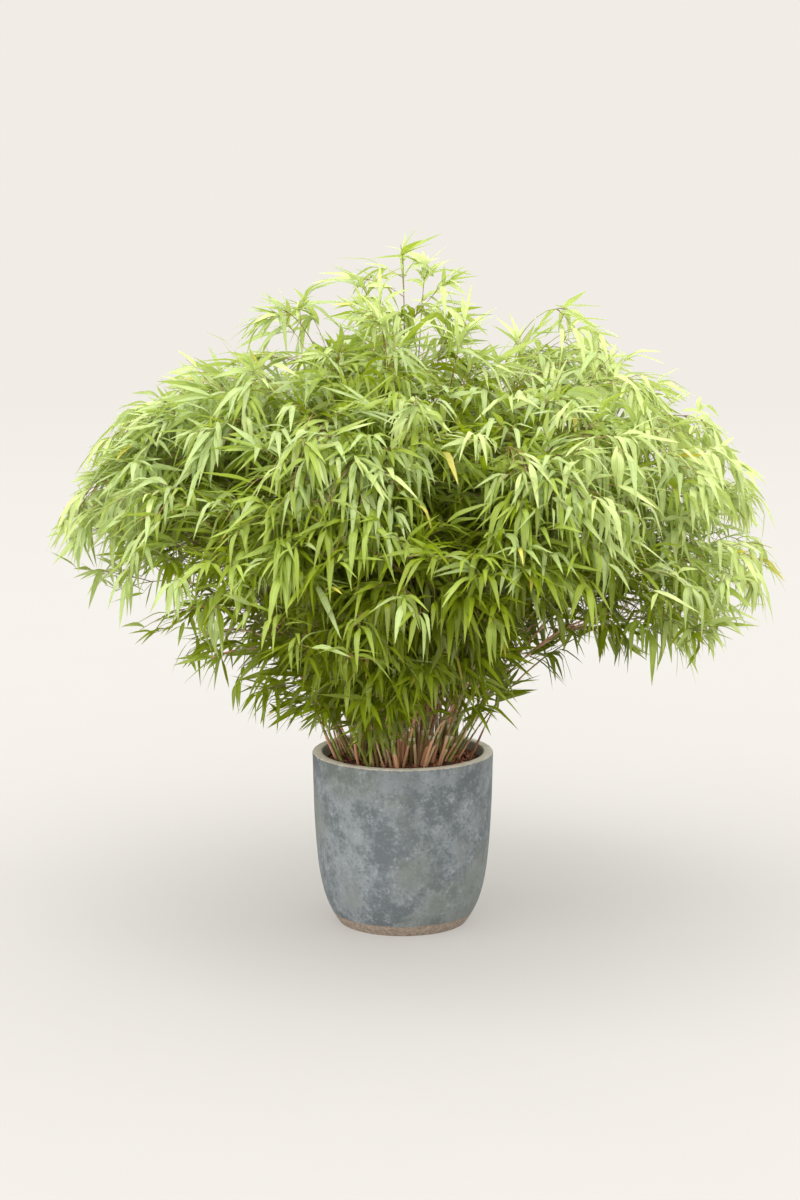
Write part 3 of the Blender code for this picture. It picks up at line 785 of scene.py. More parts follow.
class FoliageSettings(bpy.types.PropertyGroup):
    leaf_length: length_setting("Leaf length", "Length of a middling leaf", 0.104)
    leaf_width: length_setting("Leaf width", "Width of a middling leaf", 0.0127)
    joint_step: length_setting("Joint step", "Length of stem between two groups of twigs", 0.045)
    twig_reach: length_setting("Twig reach", "Length of the longest twig", 0.26)
    cell_size: length_setting("Cell size", "Size of the grid's cells that sprays are counted in", 0.06)
    sprays_in_cell: number_setting("Sprays in a cell", "The most sprays that a cell holds", 3.2)
    # Light, pale, fresh, deep and shaded are lit and shaded copies of one green, dealt out by place in the
    # crown: painted light at its top and edge, painted shade inside and low.
    light: colour_setting("Light leaf", "Sunlit leaves at the top and the edge", srgb(189, 203, 131))
    # Pale is a painted sheen: the sky's bluish-white reflection on the blades' tops, not a bloom.
    pale: colour_setting("Pale leaf", "Leaves with a bluish bloom", srgb(162, 180, 113))
    fresh: colour_setting("Fresh leaf", "Most of the outer leaves", srgb(144, 163, 64))
    # Deep is painted shade for the leaves inside the crown.
    deep: colour_setting("Deep leaf", "Leaves inside the crown", srgb(122, 138, 22))
    # Shaded is painted shade for the leaves low and deep in the clump, not a colour of age.
    shaded: colour_setting("Shaded leaf", "The oldest leaves, low in the clump", srgb(98, 108, 6))
    yellow: colour_setting("Yellow leaf", "Ageing leaves", srgb(204, 194, 92))


class StageSettings(bpy.types.PropertyGroup):
    floor: colour_setting("Floor", "The floor's colour", srgb(132, 131, 129))
    floor_glow: number_setting("Floor glow", "How much of the sky's colour the floor gives off", 0.34)
    wall: colour_setting("Sky colour", "The colour behind the plant", srgb(241, 237, 230))
    key: number_setting("Key", "Strength of the soft light from above", 5.2)


class BambooSettings(bpy.types.PropertyGroup):
    pot: PointerProperty(type=PotSettings)
    mulch: PointerProperty(type=MulchSettings)
    canes: PointerProperty(type=CaneSettings)
    foliage: PointerProperty(type=FoliageSettings)
    stage: PointerProperty(type=StageSettings)


# ---------------------------------------------------------------- pot and mulch


WALL_SIDES = 144
STRAY_SCALE = 2.3
STRAY_STRETCH = 4  # how much finer the wall's waves are up its height than round it
STRAY_FOOT = 0.02  # the height below which the wall comes back to true round
WALL_HEIGHTS = (0.0008, 0.003, 0.006, 0.012, 0.020, 0.030, 0.042, 0.056, 0.072, 0.090)
WALL_HEIGHTS += tuple(0.11 + 0.028 * step for step in range(11))
INNER_HEIGHTS = (0.392, 0.37, 0.33, 0.25, 0.17, 0.11, 0.07)
INNER_FLOOR = ((0.10, 0.032), (0, 0.031))
LIP_OUTSIDE = 0.005  # radii of the lip's two rounded edges
LIP_INSIDE = 0.004


def wall_radius(height):
    swell = BELLY_SWELL * (1 - math.exp(-height / BELLY_HEIGHT))
    return FOOT_RADIUS + swell + RIM_FLARE * height / POT_HEIGHT


def lathe(build, profile, sides, stray):
    """A closed solid of revolution between two points on the axis, its wall a little out of true round."""
    rings = []
    turn = 2 * np.pi * np.arange(sides) / sides
    for radius, height in profile[1:-1]:
        spots = [Vector((math.cos(t), math.sin(t), height * STRAY_STRETCH)) for t in turn]
        share = min(1.0, height / STRAY_FOOT)
        reach = radius + stray * share * np.array([noise.noise(spot * STRAY_SCALE) for spot in spots])
        rings.append(np.stack([reach * np.cos(turn), reach * np.sin(turn), np.full(sides, height)], axis=-1))
    count = len(rings)
    corners = np.concatenate([*rings, [[0, 0, profile[0][1]], [0, 0, profile[-1][1]]]])
    quads = between_rings(count, sides)
    first = build.add(corners, quads, np.zeros((len(quads), 4, 2)), np.zeros(len(quads), int))
    side = np.arange(sides)
    turn_on = (side + 1) % sides
    low = np.stack([turn_on, side, np.full(sides, count * sides)], axis=-1)
    top = (count - 1) * sides
    high = np.stack([top + side, top + turn_on, np.full(sides, count * sides + 1)], axis=-1)
    for fan in (low, high):
        build.faces.append((fan + first, np.zeros((sides, 3, 2)), np.zeros(sides, int)))


class BAMBOO_OT_pot(bpy.types.Operator):
    """Make the clay pot with its rounded rim"""

    bl_idname = "bamboo.pot"
    bl_label = "Pot"

    def execute(self, context):
        settings = context.scene.bamboo.pot
        rim = wall_radius(POT_HEIGHT)
        foot = [(0, 0), (FOOT_RADIUS - 0.003, 0.0), (FOOT_RADIUS - 0.0008, 0.0)]
        outer = [(wall_radius(height), height) for height in WALL_HEIGHTS]
        lip = []
        outside, inside = rim - LIP_OUTSIDE, rim - RIM_WALL + LIP_INSIDE
        edges = ((outside, LIP_OUTSIDE, (0, 22, 45, 68, 90)), (inside, LIP_INSIDE, (90, 115, 140, 165, 180)))
        for centre, size, turns in edges:
            for angle in map(math.radians, turns):
                lip.append((centre + size * math.cos(angle), POT_HEIGHT - size + size * math.sin(angle)))
        inner = [(wall_radius(height) - RIM_WALL, height) for height in INNER_HEIGHTS]
        build = Build()
        lathe(build, [*foot, *outer, *lip, *inner, *INNER_FLOOR], WALL_SIDES, settings.unevenness)
        piece = build.piece("pot_wall", [pot_material(settings)])
        piece.data.set_sharp_from_angle(angle=math.radians(50))
        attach(piece, "root")
        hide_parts("pot")
        return {"FINISHED"}


CHIP_SEED = 3
CHIP_REACH = 0.178
CHIP_EDGE = 0.182  # the radius that no chip crosses
CHIP_LENGTHS = (0.4, 1.6)
CHIP_WIDTHS = (0.18, 0.5)  # of its length
CHIP_DEPTHS = (0.25, 0.6)  # of its width
CHIP_LIFT = 0.001
CHIP_LAYER = 0.003
CHIP_TILT = 0.25
CHIP_WEAR = (0.55, 1.0)  # how far each corner keeps out from the middle
CHIP_CORNERS = [[x, y, z] for z in (-1, 1) for x, y in ((-1, -1), (1, -1), (1, 1), (-1, 1))]
CHIP_FACES = [[0, 3, 2, 1], [4, 5, 6, 7], [0, 1, 5, 4], [1, 2, 6, 5], [2, 3, 7, 6], [3, 0, 4, 7]]
BARKS = {
    "bark_red": (srgb(150, 84, 60), srgb(214, 146, 116)),
    "bark_brown": (srgb(110, 64, 48), srgb(172, 118, 90)),
    "bark_dark": (srgb(62, 36, 28), srgb(112, 74, 58)),
}


class BAMBOO_OT_mulch(bpy.types.Operator):
    """Cover the root ball with shredded bark"""

    bl_idname = "bamboo.mulch"
    bl_label = "Mulch"

    def execute(self, context):
        settings = context.scene.bamboo.mulch
        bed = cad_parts["mulch"]
        bed.data.materials.clear()
        bed.data.materials.append(mulch_material())
        rng = np.random.default_rng(CHIP_SEED)
        count = settings.chips
        out = CHIP_REACH * np.sqrt(rng.random(count))
        turn = rng.random(count) * 2 * np.pi
        length = settings.chip_length * rng.uniform(*CHIP_LENGTHS, count)
        width = length * rng.uniform(*CHIP_WIDTHS, count)
        thick = width * rng.uniform(*CHIP_DEPTHS, count)
        out = np.minimum(out, CHIP_EDGE - length / 2)
        heaped = settings.heap * (1 - (out / CHIP_EDGE) ** 4)
        lift = CHIP_LIFT + (CHIP_LAYER + heaped) * rng.random(count)
        middle = np.stack([out * np.cos(turn), out * np.sin(turn), MULCH_LEVEL + lift], axis=-1)
        heading = rng.random(count) * 2 * np.pi
        tilt = rng.normal(0, CHIP_TILT, count)
        along = ways_of(heading, tilt)
        across = unit(np.cross(along, unit(rng.normal(0, CHIP_TILT, (count, 3)) + [0, 0, 1.0])))
        up = np.cross(across, along)
        jitter = rng.uniform(*CHIP_WEAR, (count, 8, 3)) * np.array(CHIP_CORNERS, float)
        corners = middle[:, None]
        for axis, (way, size) in enumerate(((along, length), (across, width), (up, thick))):
            corners = corners + jitter[..., axis, None] * (way * size[:, None] / 2)[:, None]
        faces = (np.arange(count)[:, None, None] * 8 + np.array(CHIP_FACES)).reshape(-1, 4)
        shifts = rng.random((count, 1, 2)) * 20
        square = np.array([[0, 0], [1, 0], [1, 1], [0, 1]], float)
        places = square + np.repeat(shifts, len(CHIP_FACES), axis=0)
        build = Build()
        build.add(corners, faces, places, np.repeat(rng.integers(0, len(BARKS), count), len(CHIP_FACES)))
        kinds = [bark_material(name, *tones) for name, tones in BARKS.items()]
        piece = build.piece("bark_chips", kinds, smooth=False)
        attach(piece, "root")
        return {"FINISHED"}


# ---------------------------------------------------------------- canes


FIRST_JOINT = 0.018
LAST_JOINT = 0.02  # no joint stands nearer to the tip
CANE_ROOT = 0.006  # how far a cane goes down into the mulch
CANE_SEED = 21
CANE_SIDES = 6
CANE_TAPER = 0.78  # the share of its thickness that a cane loses on its way up
SHEATH_SIDES = 8
SHEATH_SHARES = np.array([0.0, 0.06, 0.5, 0.9, 1.0])  # of its length, for each ring
SHEATH_FLARE = np.array([1.18, 1.22, 1.16, 1.20, 1.42])
SHEATH_SLANT = np.array([0, 0, 0.02, 0.07, 0.16])
SHEATH_TOP = 0.95  # above this height, counted along the cane, joints are bare
BARE_JOINTS = 0.45  # the share of the joints below it that are bare
SHEATH_LENGTHS = (0.45, 0.95)  # of the span to the next joint
FILL_THICKNESS = (0.55, 0.95)  # of a leading cane's
DARK_STREAK = 0.62
DARK_RIB = 0.6


def lengths_along(line):
    return np.concatenate([[0.0], np.cumsum(np.linalg.norm(np.diff(line, axis=0), axis=1))])


def at_length(line, lengths, wanted):
    return np.stack([np.interp(wanted, lengths, line[:, axis]) for axis in range(3)], axis=-1)


def joints_of(total, spacing):
    """Where the joints of a cane stand: further apart in the middle, and close together at the tip."""
    places = []
    place = FIRST_JOINT
    while place < total - LAST_JOINT:
        places.append(place)
        share = place / total
        place += spacing * (0.6 + 0.8 * math.sin(math.pi * min(0.95, share + 0.15)))
    return np.array(places + [total])


def add_cane(build, line, thick, spacing, kind):
    """One cane with raised joints, from just under the mulch to its tip. Returns the joints' places."""
    lengths = lengths_along(line)
    total = lengths[-1]
    joints = joints_of(total, spacing)
    rings = [(-CANE_ROOT, 0.5, 1.12)]  # each ring's place along the cane, its place in joints, and its swell
    for number, (start, end) in enumerate(zip(np.concatenate([[0.0], joints[:-1]]), joints)):
        if number:
            rings.append((start + 0.0022, number + 0.03, 1.02))
        for share, swell in ((0.35, 1.0), (0.70, 1.0), (0.93, 1.03)):
            rings.append((start + (end - start) * share, number + share, swell))
        if end < total:
            rings += [(end - 0.0012, number + 0.968, 1.12), (end, number + 1.0, 1.16)]
    wanted, phase, swell = np.array(rings).T
    path = at_length(line, lengths, np.maximum(wanted, 0))
    path[0, 2] -= CANE_ROOT
    taper = 1 - CANE_TAPER * np.clip(wanted / total, 0, 1) ** 1.25
    radii = thick / 2 * taper * swell
    add_tubes(build, path[None], radii[None], CANE_SIDES, phase[None], np.array([kind]))
    return joints


def add_sheath(build, line, start, length, radius, tilt, kind):
    """A sheath wrapped round the cane above a joint, its lip cut slantwise and a little open."""
    lengths = lengths_along(line)
    path = at_length(line, lengths, start + SHEATH_SHARES * length)
    ways = unit(np.gradient(path, axis=0))
    first = unit(np.cross(ways[0], [0.3, 0.9, 0.1]))
    across = unit(first - ways * (ways @ first)[:, None])
    other = np.cross(ways, across)
    turn = 2 * np.pi * np.arange(SHEATH_SIDES) / SHEATH_SIDES + tilt
    ring = across[:, None] * np.cos(turn)[:, None] + other[:, None] * np.sin(turn)[:, None]
    corners = path[:, None] + ring * (radius * SHEATH_FLARE)[:, None, None]
    slant = SHEATH_SLANT[:, None] * length * np.cos(turn - tilt)[None]
    corners = corners + ways[:, None] * slant[..., None]
    faces = between_rings(len(SHEATH_SHARES), SHEATH_SIDES)
    build.add(corners, faces, places_between(SHEATH_SHARES, SHEATH_SIDES), np.full(len(faces), kind))


class BAMBOO_OT_canes(bpy.types.Operator):
    """Raise the canes with their joints and sheaths"""

    bl_idname = "bamboo.canes"
    bl_label = "Canes"

    def execute(self, context):
        settings = context.scene.bamboo.canes
        _, leading, fill = plan_crown(settings.fill_canes, settings.young_canes)
        rng = random.Random(CANE_SEED)
        canes, sheaths = Build(), Build()
        lines = [(line, 1.0) for line in leading] + [(line, rng.uniform(*FILL_THICKNESS)) for line in fill]
        for line, share in lines:
            thick = settings.thickness * share * rng.uniform(0.85, 1.1)
            kind = rng.choice((0, 0, 0, 1, 1, 2))
            joints = add_cane(canes, line, thick, settings.joint_spacing, kind)
            for start, end in zip(joints, joints[1:]):
                if line[0][2] + start > SHEATH_TOP or rng.random() < BARE_JOINTS:
                    continue
                span = (end - start) * rng.uniform(*SHEATH_LENGTHS)
                radius = thick / 2 * (1 - 0.5 * start / joints[-1])
                add_sheath(sheaths, line, start, span, radius, rng.uniform(0, 6.28), rng.choice((0, 0, 1)))
        names = [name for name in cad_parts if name.startswith("cane_")]
        wax = srgb(196, 196, 164)
        tones = {"cane_green": settings.green, "cane_olive": settings.olive, "cane_brown": settings.brown}
        kinds = [cane_material(name, dimmed(tone, DARK_STREAK), tone, wax) for name, tone in tones.items()]
        piece = canes.piece("canes", kinds)
        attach(piece, "root")
        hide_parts(*names)
        tones = {"sheath_fresh": settings.sheath, "sheath_straw": settings.straw}
        kinds = [sheath_material(name, dimmed(tone, DARK_RIB), tone) for name, tone in tones.items()]
        piece = sheaths.piece("sheaths", kinds)
        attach(piece, "root")
        return {"FINISHED"}


# ---------------------------------------------------------------- foliage


def arched(roots, ways, lengths, points, droop):
    """Paths of that many points that set out along the ways and bend down."""
    path = [roots]
    way = ways
    down = np.stack([np.zeros(len(droop)), np.zeros(len(droop)), droop], axis=-1)
    for _ in range(points - 1):
        path.append(path[-1] + way * (lengths / (points - 1))[:, None])
        way = unit(way - down)
    return np.stack(path, axis=1)


LUMP_SIZE = 1.8


def lumps(points, scale, seed):
    """Smooth noise from about -1 to 1 at each point."""
    shift = Vector((seed, 0, 0))
    return np.array([noise.noise(Vector(point) * scale + shift) for point in points]) * LUMP_SIZE


def hill(values, middle, width):
    """1 at the middle, and falling smoothly to 0 on both sides."""
    return np.exp(-(((values - middle) / width) ** 2))


def ramp(values, low, high, least=0.0):
    """From least at low and below to 1 at high and above."""
    return np.clip(least + (1 - least) * (values - low) / (high - low), least, 1.0)


TOP_DIPS = (  # how far the leafy top lies below the crown's outline, by side position
    (-0.52, 0.02), (-0.43, 0.08), (-0.36, 0.11), (-0.28, 0.11), (-0.18, 0.09), (-0.10, 0.08),
    (-0.04, 0.08), (0.05, 0.11), (0.10, 0.18), (0.15, 0.22), (0.22, 0.22), (0.27, 0.13),
    (0.34, 0.05), (0.42, 0.02), (0.50, 0.04), (0.56, 0.06), (0.80, 0.05),
)
HEM_LIFTS = (  # how far the leafy hem lies above the crown's outline, by side position
    (-0.70, 0.08), (-0.60, 0.12), (-0.52, 0.19), (-0.43, 0.26), (-0.26, 0.29), (-0.17, 0.07),
    (0.0, 0.03), (0.12, 0.07), (0.22, 0.21), (0.28, 0.30), (0.40, 0.26), (0.50, 0.16),
    (0.62, 0.08), (0.70, 0.05), (0.80, 0.05),
)


def along_table(table, values):
    """The table's second column at these places in its first."""
    places, heights = zip(*table)
    return np.interp(values, places, heights)


def top_dip(points):
    """How far the leafy top lies below the crown's outline over each point. Low on the crown it's 0."""
    return along_table(TOP_DIPS, points[:, 0]) * ramp(points[:, 2], 1.15, 1.35)


def hem_lift(points):
    """How far the leafy hem lies above the crown's outline under each point. High on the crown it's 0."""
    return along_table(HEM_LIFTS, points[:, 0]) * ramp(-points[:, 2], -1.02, -0.86)


def leafy_depth(points):
    """How far each point lies inside the leaves, between their top and their hem."""
    height = points[:, 2]
    below_top = crown_top(points) - top_dip(points) - height
    return np.minimum(below_top, height - crown_hem(points) - hem_lift(points))


def at_step(paths, row, place):
    """Points on the paths in those rows, at places counted in steps, and the numbers of the steps."""
    step = np.minimum(place.astype(int), paths.shape[1] - 2)
    part = (place - step)[..., None]
    return paths[row, step] * (1 - part) + paths[row, step + 1] * part, step


TWIG_SEED = 8
TWIGS_AT_JOINT = 9
JOINT_SCATTER = 0.3  # of the step between joints
TURN_SCATTER = 0.5
NEAR_BY = 0.004  # the length of cane to each side that gives its way at a joint
ALONG_CANE, AROUND_CANE, FROM_AXIS, UPWARDS = 0.55, 0.80, 0.30, 0.15  # what a twig's first way is made of
BARE_INSIDE = (-0.30, -0.04, 0.16)  # fewer twigs deep inside the crown
BARE_BELOW = (0.48, 0.72, 0.20)  # and low on it
TIP_STRETCH = 0.035  # the length of cane below its tip whose twigs are short

TWIG_POINTS = 5
TWIG_DROOP = (0.02, 0.18)
TWIG_SHARES = (0.3, 1.0)  # of the longest twig's length
TIP_TWIGS = (0.02, 0.07)
LEAST_TWIG = 0.015
TWIG_PROBES = 24  # places along a twig's way where its space is tried
PROBES_BEYOND = 0.12  # how far they go on beyond the longest twig
BORDER_BEYOND = 0.08
BORDER_ROOM = 0.012
TWIG_ROOM = 0.04
TWIG_CHANCE = 1.2
TIP_CHANCE = 0.55

TWIGLET_PLACES = np.array([0.22, 0.34, 0.46, 0.58, 0.70, 0.81, 0.91])
TWIGLET_LEAST_TWIG = np.array([0.09, 0.15, 0.06, 0.13, 0.04, 0.17, 0.10])  # the shortest twig with one there
TWIGLET_SCATTER = 0.04
TWIGLET_ALONG, TWIGLET_ASIDE = 0.8, 0.6
TWIGLET_UP = (-0.3, 0.35)
TWIGLET_POINTS = 3
TWIGLET_LENGTHS = (0.020, 0.070)
TWIGLET_DROOP = (0.05, 0.25)

EDGE_LUMPS = (3.4, 5)  # the scale and seed of the noise at the crown's edge
HEM_LUMPS = (4.0, 9)  # at its hem
CELL_LUMPS = (7.0, 2)  # and in the grid's cells
EDGE_RAGGED = 0.030
EDGE_FADE = (0.02, 0.12, 0.03)  # the depths over which the crown fills out, and the least share
HEM_RAGGED = 0.04
HEM_FADE = (-0.03, 0.10)
THIN_PLACES = (  # the share of sprays missing, from these side positions and heights on
    (0.30, (0.25, 0.55), (0.85, 1.05)),
    (0.35, (0.05, 0.20), (1.20, 1.35)),
)
FOOT_FADE = (0.54, 0.78, 0.03)
FOOT_REACH = 0.34
LOOSE_INSIDE = (-0.34, -0.14, 0.48)
LEAST_FULLNESS = 0.30

LEAVES = (3, 7)  # a spray has at least the first number, and fewer than the second
LEAF_BACK = (0.020, 0.055)  # how far before the spray's end its lowest leaves stand
LEAF_FAN = (0.30, 1.35)
LEAF_BENDS = (0.12, 1.60)
LEAF_SIZES = (0.80, 1.20)
YELLOW_SHARE = 0.006
OUTLINE_ROOM = 0.022  # how far beyond the crown's outline a leaf's tip may lie
LOW_ROOM = 0.085  # and low on the crown
LOW_HEIGHT = 0.6
POT_ROOM = 0.226  # no leaf comes nearer to the axis than this below the rim
RIM_ROOM = 0.012


class Crown:
    """Grows twigs, twiglets and sprays on the canes, each in the space of the mass that it stands in."""

    def __init__(self, settings, masses, lines):
        self.settings = settings
        self.rng = np.random.default_rng(TWIG_SEED)
        joints = [self.joints_on(line) for line in lines]
        roots, ways, at_tip = (np.concatenate(parts) for parts in zip(*joints))
        middles = np.array([mass.middle for mass in masses])
        owners = ((roots[:, None] - middles[None]) ** 2).sum(axis=-1).argmin(axis=1)
        grown = []
        for index, mass in enumerate(masses):
            mine = owners == index
            grown.append(self.twigs_of(mass, roots[mine], ways[mine], at_tip[mine]))
        owners = np.concatenate([np.full(len(lengths), index) for index, (_, lengths, _) in enumerate(grown)])
        self.twigs, self.lengths, at_tip = (np.concatenate(parts) for parts in zip(*grown))
        self.branch(owners, at_tip)
        tips = np.array([line[-1] for line in lines])
        self.ends = np.concatenate([self.ends, tips])
        self.ways = np.concatenate([self.ways, unit(tips - np.array([line[-4] for line in lines]))])
        nearest = ((tips[:, None] - middles[None]) ** 2).sum(axis=-1).argmin(axis=1)
        self.end_owners = np.concatenate([self.end_owners, nearest])

    def joints_on(self, line):
        """Where twigs stand on a cane inside the crown, by the golden turn, and which way each sets out."""
        rng = self.rng
        lengths = lengths_along(line)
        step = self.settings.joint_step
        number = np.arange(int(lengths[-1] / step) * TWIGS_AT_JOINT)
        joint = number // TWIGS_AT_JOINT + 1
        scatter = rng.uniform(-JOINT_SCATTER, JOINT_SCATTER, len(number))
        place = np.minimum((joint + scatter) * step, lengths[-1])
        roots = at_length(line, lengths, place)
        after = at_length(line, lengths, np.minimum(place + NEAR_BY, lengths[-1]))
        along = unit(after - at_length(line, lengths, place - NEAR_BY))
        side = unit(np.cross(along, [0, 0.01, 1.0]))
        up = np.cross(side, along)
        turn = (number * GOLDEN_TURN + rng.uniform(-TURN_SCATTER, TURN_SCATTER, len(number)))[:, None]
        around = side * np.cos(turn) + up * np.sin(turn)
        from_axis = unit((roots - [CROWN_SHIFT, 0, 0]) * [1, 1, 0])
        ways = along * ALONG_CANE + around * AROUND_CANE + from_axis * FROM_AXIS
        ways = unit(ways + np.array([0, 0, UPWARDS]))
        depth = inside_outline(roots)
        chance = ramp(-depth, *BARE_INSIDE) * ramp(roots[:, 2], *BARE_BELOW)
        wanted = (depth > 0.0) & (rng.random(len(number)) < chance)
        return roots[wanted], ways[wanted], (place > lengths[-1] - TIP_STRETCH)[wanted]

    def twigs_of(self, mass, roots, ways, at_tip):
        """The mass's twigs, each as long as its space allows, and whether each stands at a cane's tip."""
        rng = self.rng
        longest = self.settings.twig_reach
        steps = np.linspace(0.01, longest + PROBES_BEYOND, TWIG_PROBES)
        points = roots[:, None] + ways[:, None] * steps[None, :, None]
        room = mass.inside(points.reshape(-1, 3), BORDER_BEYOND).reshape(len(roots), -1)
        blocked = room < BORDER_ROOM
        reach = np.where(blocked.any(axis=1), blocked.argmax(axis=1), len(steps)) * steps[-1] / len(steps)
        lengths = np.minimum(longest * rng.uniform(*TWIG_SHARES, len(roots)), reach - TWIG_ROOM)
        lengths = np.where(at_tip, np.minimum(lengths, rng.uniform(*TIP_TWIGS, len(roots))), lengths)
        kept = lengths > LEAST_TWIG
        roots, ways, lengths = roots[kept], ways[kept], lengths[kept]
        twigs = arched(roots, ways, lengths, TWIG_POINTS, rng.uniform(*TWIG_DROOP, len(roots)))
        return twigs, lengths, at_tip[kept]

    def branch(self, owners, at_tip):
        """Twiglets on the twigs, and a spray at each end, thinned until they fill the crown evenly."""
        rng = self.rng
        chance = np.where(at_tip, TIP_CHANCE, TWIG_CHANCE * self.fullness(self.twigs[:, -1]))
        grown = rng.random(len(chance)) < chance
        owners, at_tip, twigs, lengths = owners[grown], at_tip[grown], self.twigs[grown], self.lengths[grown]
        count = len(twigs)
        scatter = rng.uniform(-TWIGLET_SCATTER, TWIGLET_SCATTER, (count, len(TWIGLET_PLACES)))
        places = TWIGLET_PLACES + scatter
        twig, number = np.nonzero(lengths[:, None] > TWIGLET_LEAST_TWIG)
        starts, low = at_step(twigs, twig, places[twig, number] * (TWIG_POINTS - 1))
        along = unit(twigs[twig, low + 1] - twigs[twig, low])
        level = unit(np.cross(along, [0, 0.01, 1.0]))
        sign = np.where((number + twig) % 2, 1.0, -1.0)[:, None]
        up = rng.uniform(*TWIGLET_UP, (len(twig), 1)) * np.array([0, 0, 1.0])
        away = unit(along * TWIGLET_ALONG + level * sign * TWIGLET_ASIDE + up)
        reach, droop = rng.uniform(*TWIGLET_LENGTHS, len(twig)), rng.uniform(*TWIGLET_DROOP, len(twig))
        twiglets = arched(starts, away, reach, TWIGLET_POINTS, droop)
        ends = np.concatenate([twigs[:, -1], twiglets[:, -1]])
        befores = np.concatenate([twigs[:, -2], twiglets[:, -2]])
        bearer = np.concatenate([np.arange(count), twig])
        kept = self.thinned(ends)
        kept[:count] |= at_tip
        self.ends, self.ways, self.end_owners = ends[kept], unit(ends - befores)[kept], owners[bearer[kept]]
        outermost = np.zeros(count)
        np.maximum.at(outermost, bearer[kept], np.concatenate([np.ones(count), places[twig, number]])[kept])
        bears = outermost > 0
        steps = np.arange(TWIG_POINTS) * outermost[:, None]
        twigs, _ = at_step(twigs, np.arange(count)[:, None], steps)
        self.twiglets, self.twiglet_owners = twiglets[kept[count:]], owners[twig[kept[count:]]]
        self.twigs, self.lengths, self.owners = twigs[bears], lengths[bears], owners[bears]

    def fullness(self, ends):
        """How full of sprays the crown is at each place: loose at its ragged edge, its hem and its foot."""
        side, height = ends[:, 0], ends[:, 2]
        out = np.hypot(side - CROWN_SHIFT, ends[:, 1])
        dip = top_dip(ends) - 0.05 * ramp(-side, 0.45, 0.70)
        notch = 0.06 * hill(height, 1.08, 0.06) * ramp(side, 0.3, 0.5)
        edge = np.minimum(crown_top(ends) - height, CROWN_REACH - out - notch)
        apart = ramp(np.abs(side), 0.35, 0.60)
        ragged = (EDGE_RAGGED + EDGE_RAGGED * apart) * lumps(ends, *EDGE_LUMPS)
        low, high, least = EDGE_FADE
        full = ramp(edge - dip - ragged, low, high + high * apart, least)
        lift = hem_lift(ends) + HEM_RAGGED * lumps(ends, *HEM_LUMPS)
        strays = 0.004 + 0.09 * ramp(-side, *LOOSE_SIDE)
        full *= np.maximum(ramp(height - crown_hem(ends) - lift, *HEM_FADE), strays)
        for share, sides, heights in THIN_PLACES:
            full *= 1 - share * ramp(side, *sides) * ramp(height, *heights)
        round_foot = ramp(np.abs(side - 0.04), 0.05, 0.14)
        low, high, least = FOOT_FADE
        foot = ramp(height, low - 0.10 * round_foot, high - 0.14 * round_foot, least + 0.15 * round_foot)
        return full * np.where(out < FOOT_REACH, foot, 1)

    def thinned(self, ends):
        """Which sprays to keep: only so many in each cell of a grid, and fewer where the crown is loose."""
        rng = self.rng
        limit = self.settings.sprays_in_cell * ramp(-inside_outline(ends), *LOOSE_INSIDE)
        limit *= np.maximum(self.fullness(ends), LEAST_FULLNESS) * (1 + 0.45 * lumps(ends, *CELL_LUMPS))
        cells = np.floor((ends + 5) / self.settings.cell_size).astype(np.int64)
        keys = (cells[:, 0] * 1000 + cells[:, 1]) * 1000 + cells[:, 2]
        order = np.lexsort((rng.random(len(ends)), keys))
        first = np.searchsorted(keys[order], keys[order])
        rank = np.empty(len(ends))
        rank[order] = np.arange(len(ends)) - first
        return rank + rng.random(len(ends)) < limit

    def leaves_of(self, ends, ways):
        """Fans of leaves at the sprays' ends, which hang most in the middle and on the +X side."""
        rng = self.rng
        settings = self.settings
        per = rng.integers(*LEAVES, len(ends))
        spray = np.repeat(np.arange(len(ends)), per)
        order = np.concatenate([np.arange(n) for n in per])
        share = order / (per[spray] - 1)
        count = len(spray)
        depth = inside_outline(ends)[spray]
        high = ramp(ends[spray, 2], 0.9, 1.5) * ramp(-depth, -0.20, -0.05)
        back = (1 - share) * rng.uniform(*LEAF_BACK, len(ends))[spray]
        heading = np.arctan2(ways[:, 1], ways[:, 0])
        heading = np.where(np.abs(ways[:, 2]) > 0.95, rng.uniform(-np.pi, np.pi, len(ends)), heading)[spray]
        side = np.where((order + spray) % 2, 1.0, -1.0)
        fan = side * (1 - share * 0.85) * rng.uniform(*LEAF_FAN, count)
        across = ends[spray, 0] / CROWN_REACH
        hang = (0.70 + 0.30 * across + 0.25 * (1 - across**2)) * ramp(ends[spray, 2], 0.50, 0.80, 0.60)
        pitch = np.arcsin(ways[spray, 2]) * 0.7 + rng.normal(0.06, 0.34, count) + 0.15 * high
        bend = rng.uniform(*LEAF_BENDS, len(ends))[spray] * rng.uniform(0.75, 1.25, count)
        bend = bend * hang * (1 - 0.40 * high)
        scale = rng.uniform(*LEAF_SIZES, len(ends))[spray] * rng.uniform(0.62, 1.12, count)
        return {
            "root": ends[spray] - ways[spray] * back[:, None],
            "heading": heading + fan,
            "sway": rng.normal(0, 0.14, count),
            "pitch": pitch,
            "bend": bend,
            "roll": rng.normal(0, 0.50, count),
            "twist": rng.normal(0, 0.40, count),
            "length": settings.leaf_length * scale,
            "width": settings.leaf_width * (0.40 + 0.60 * scale) * rng.uniform(0.80, 1.15, count),
            "spray": spray,
        }

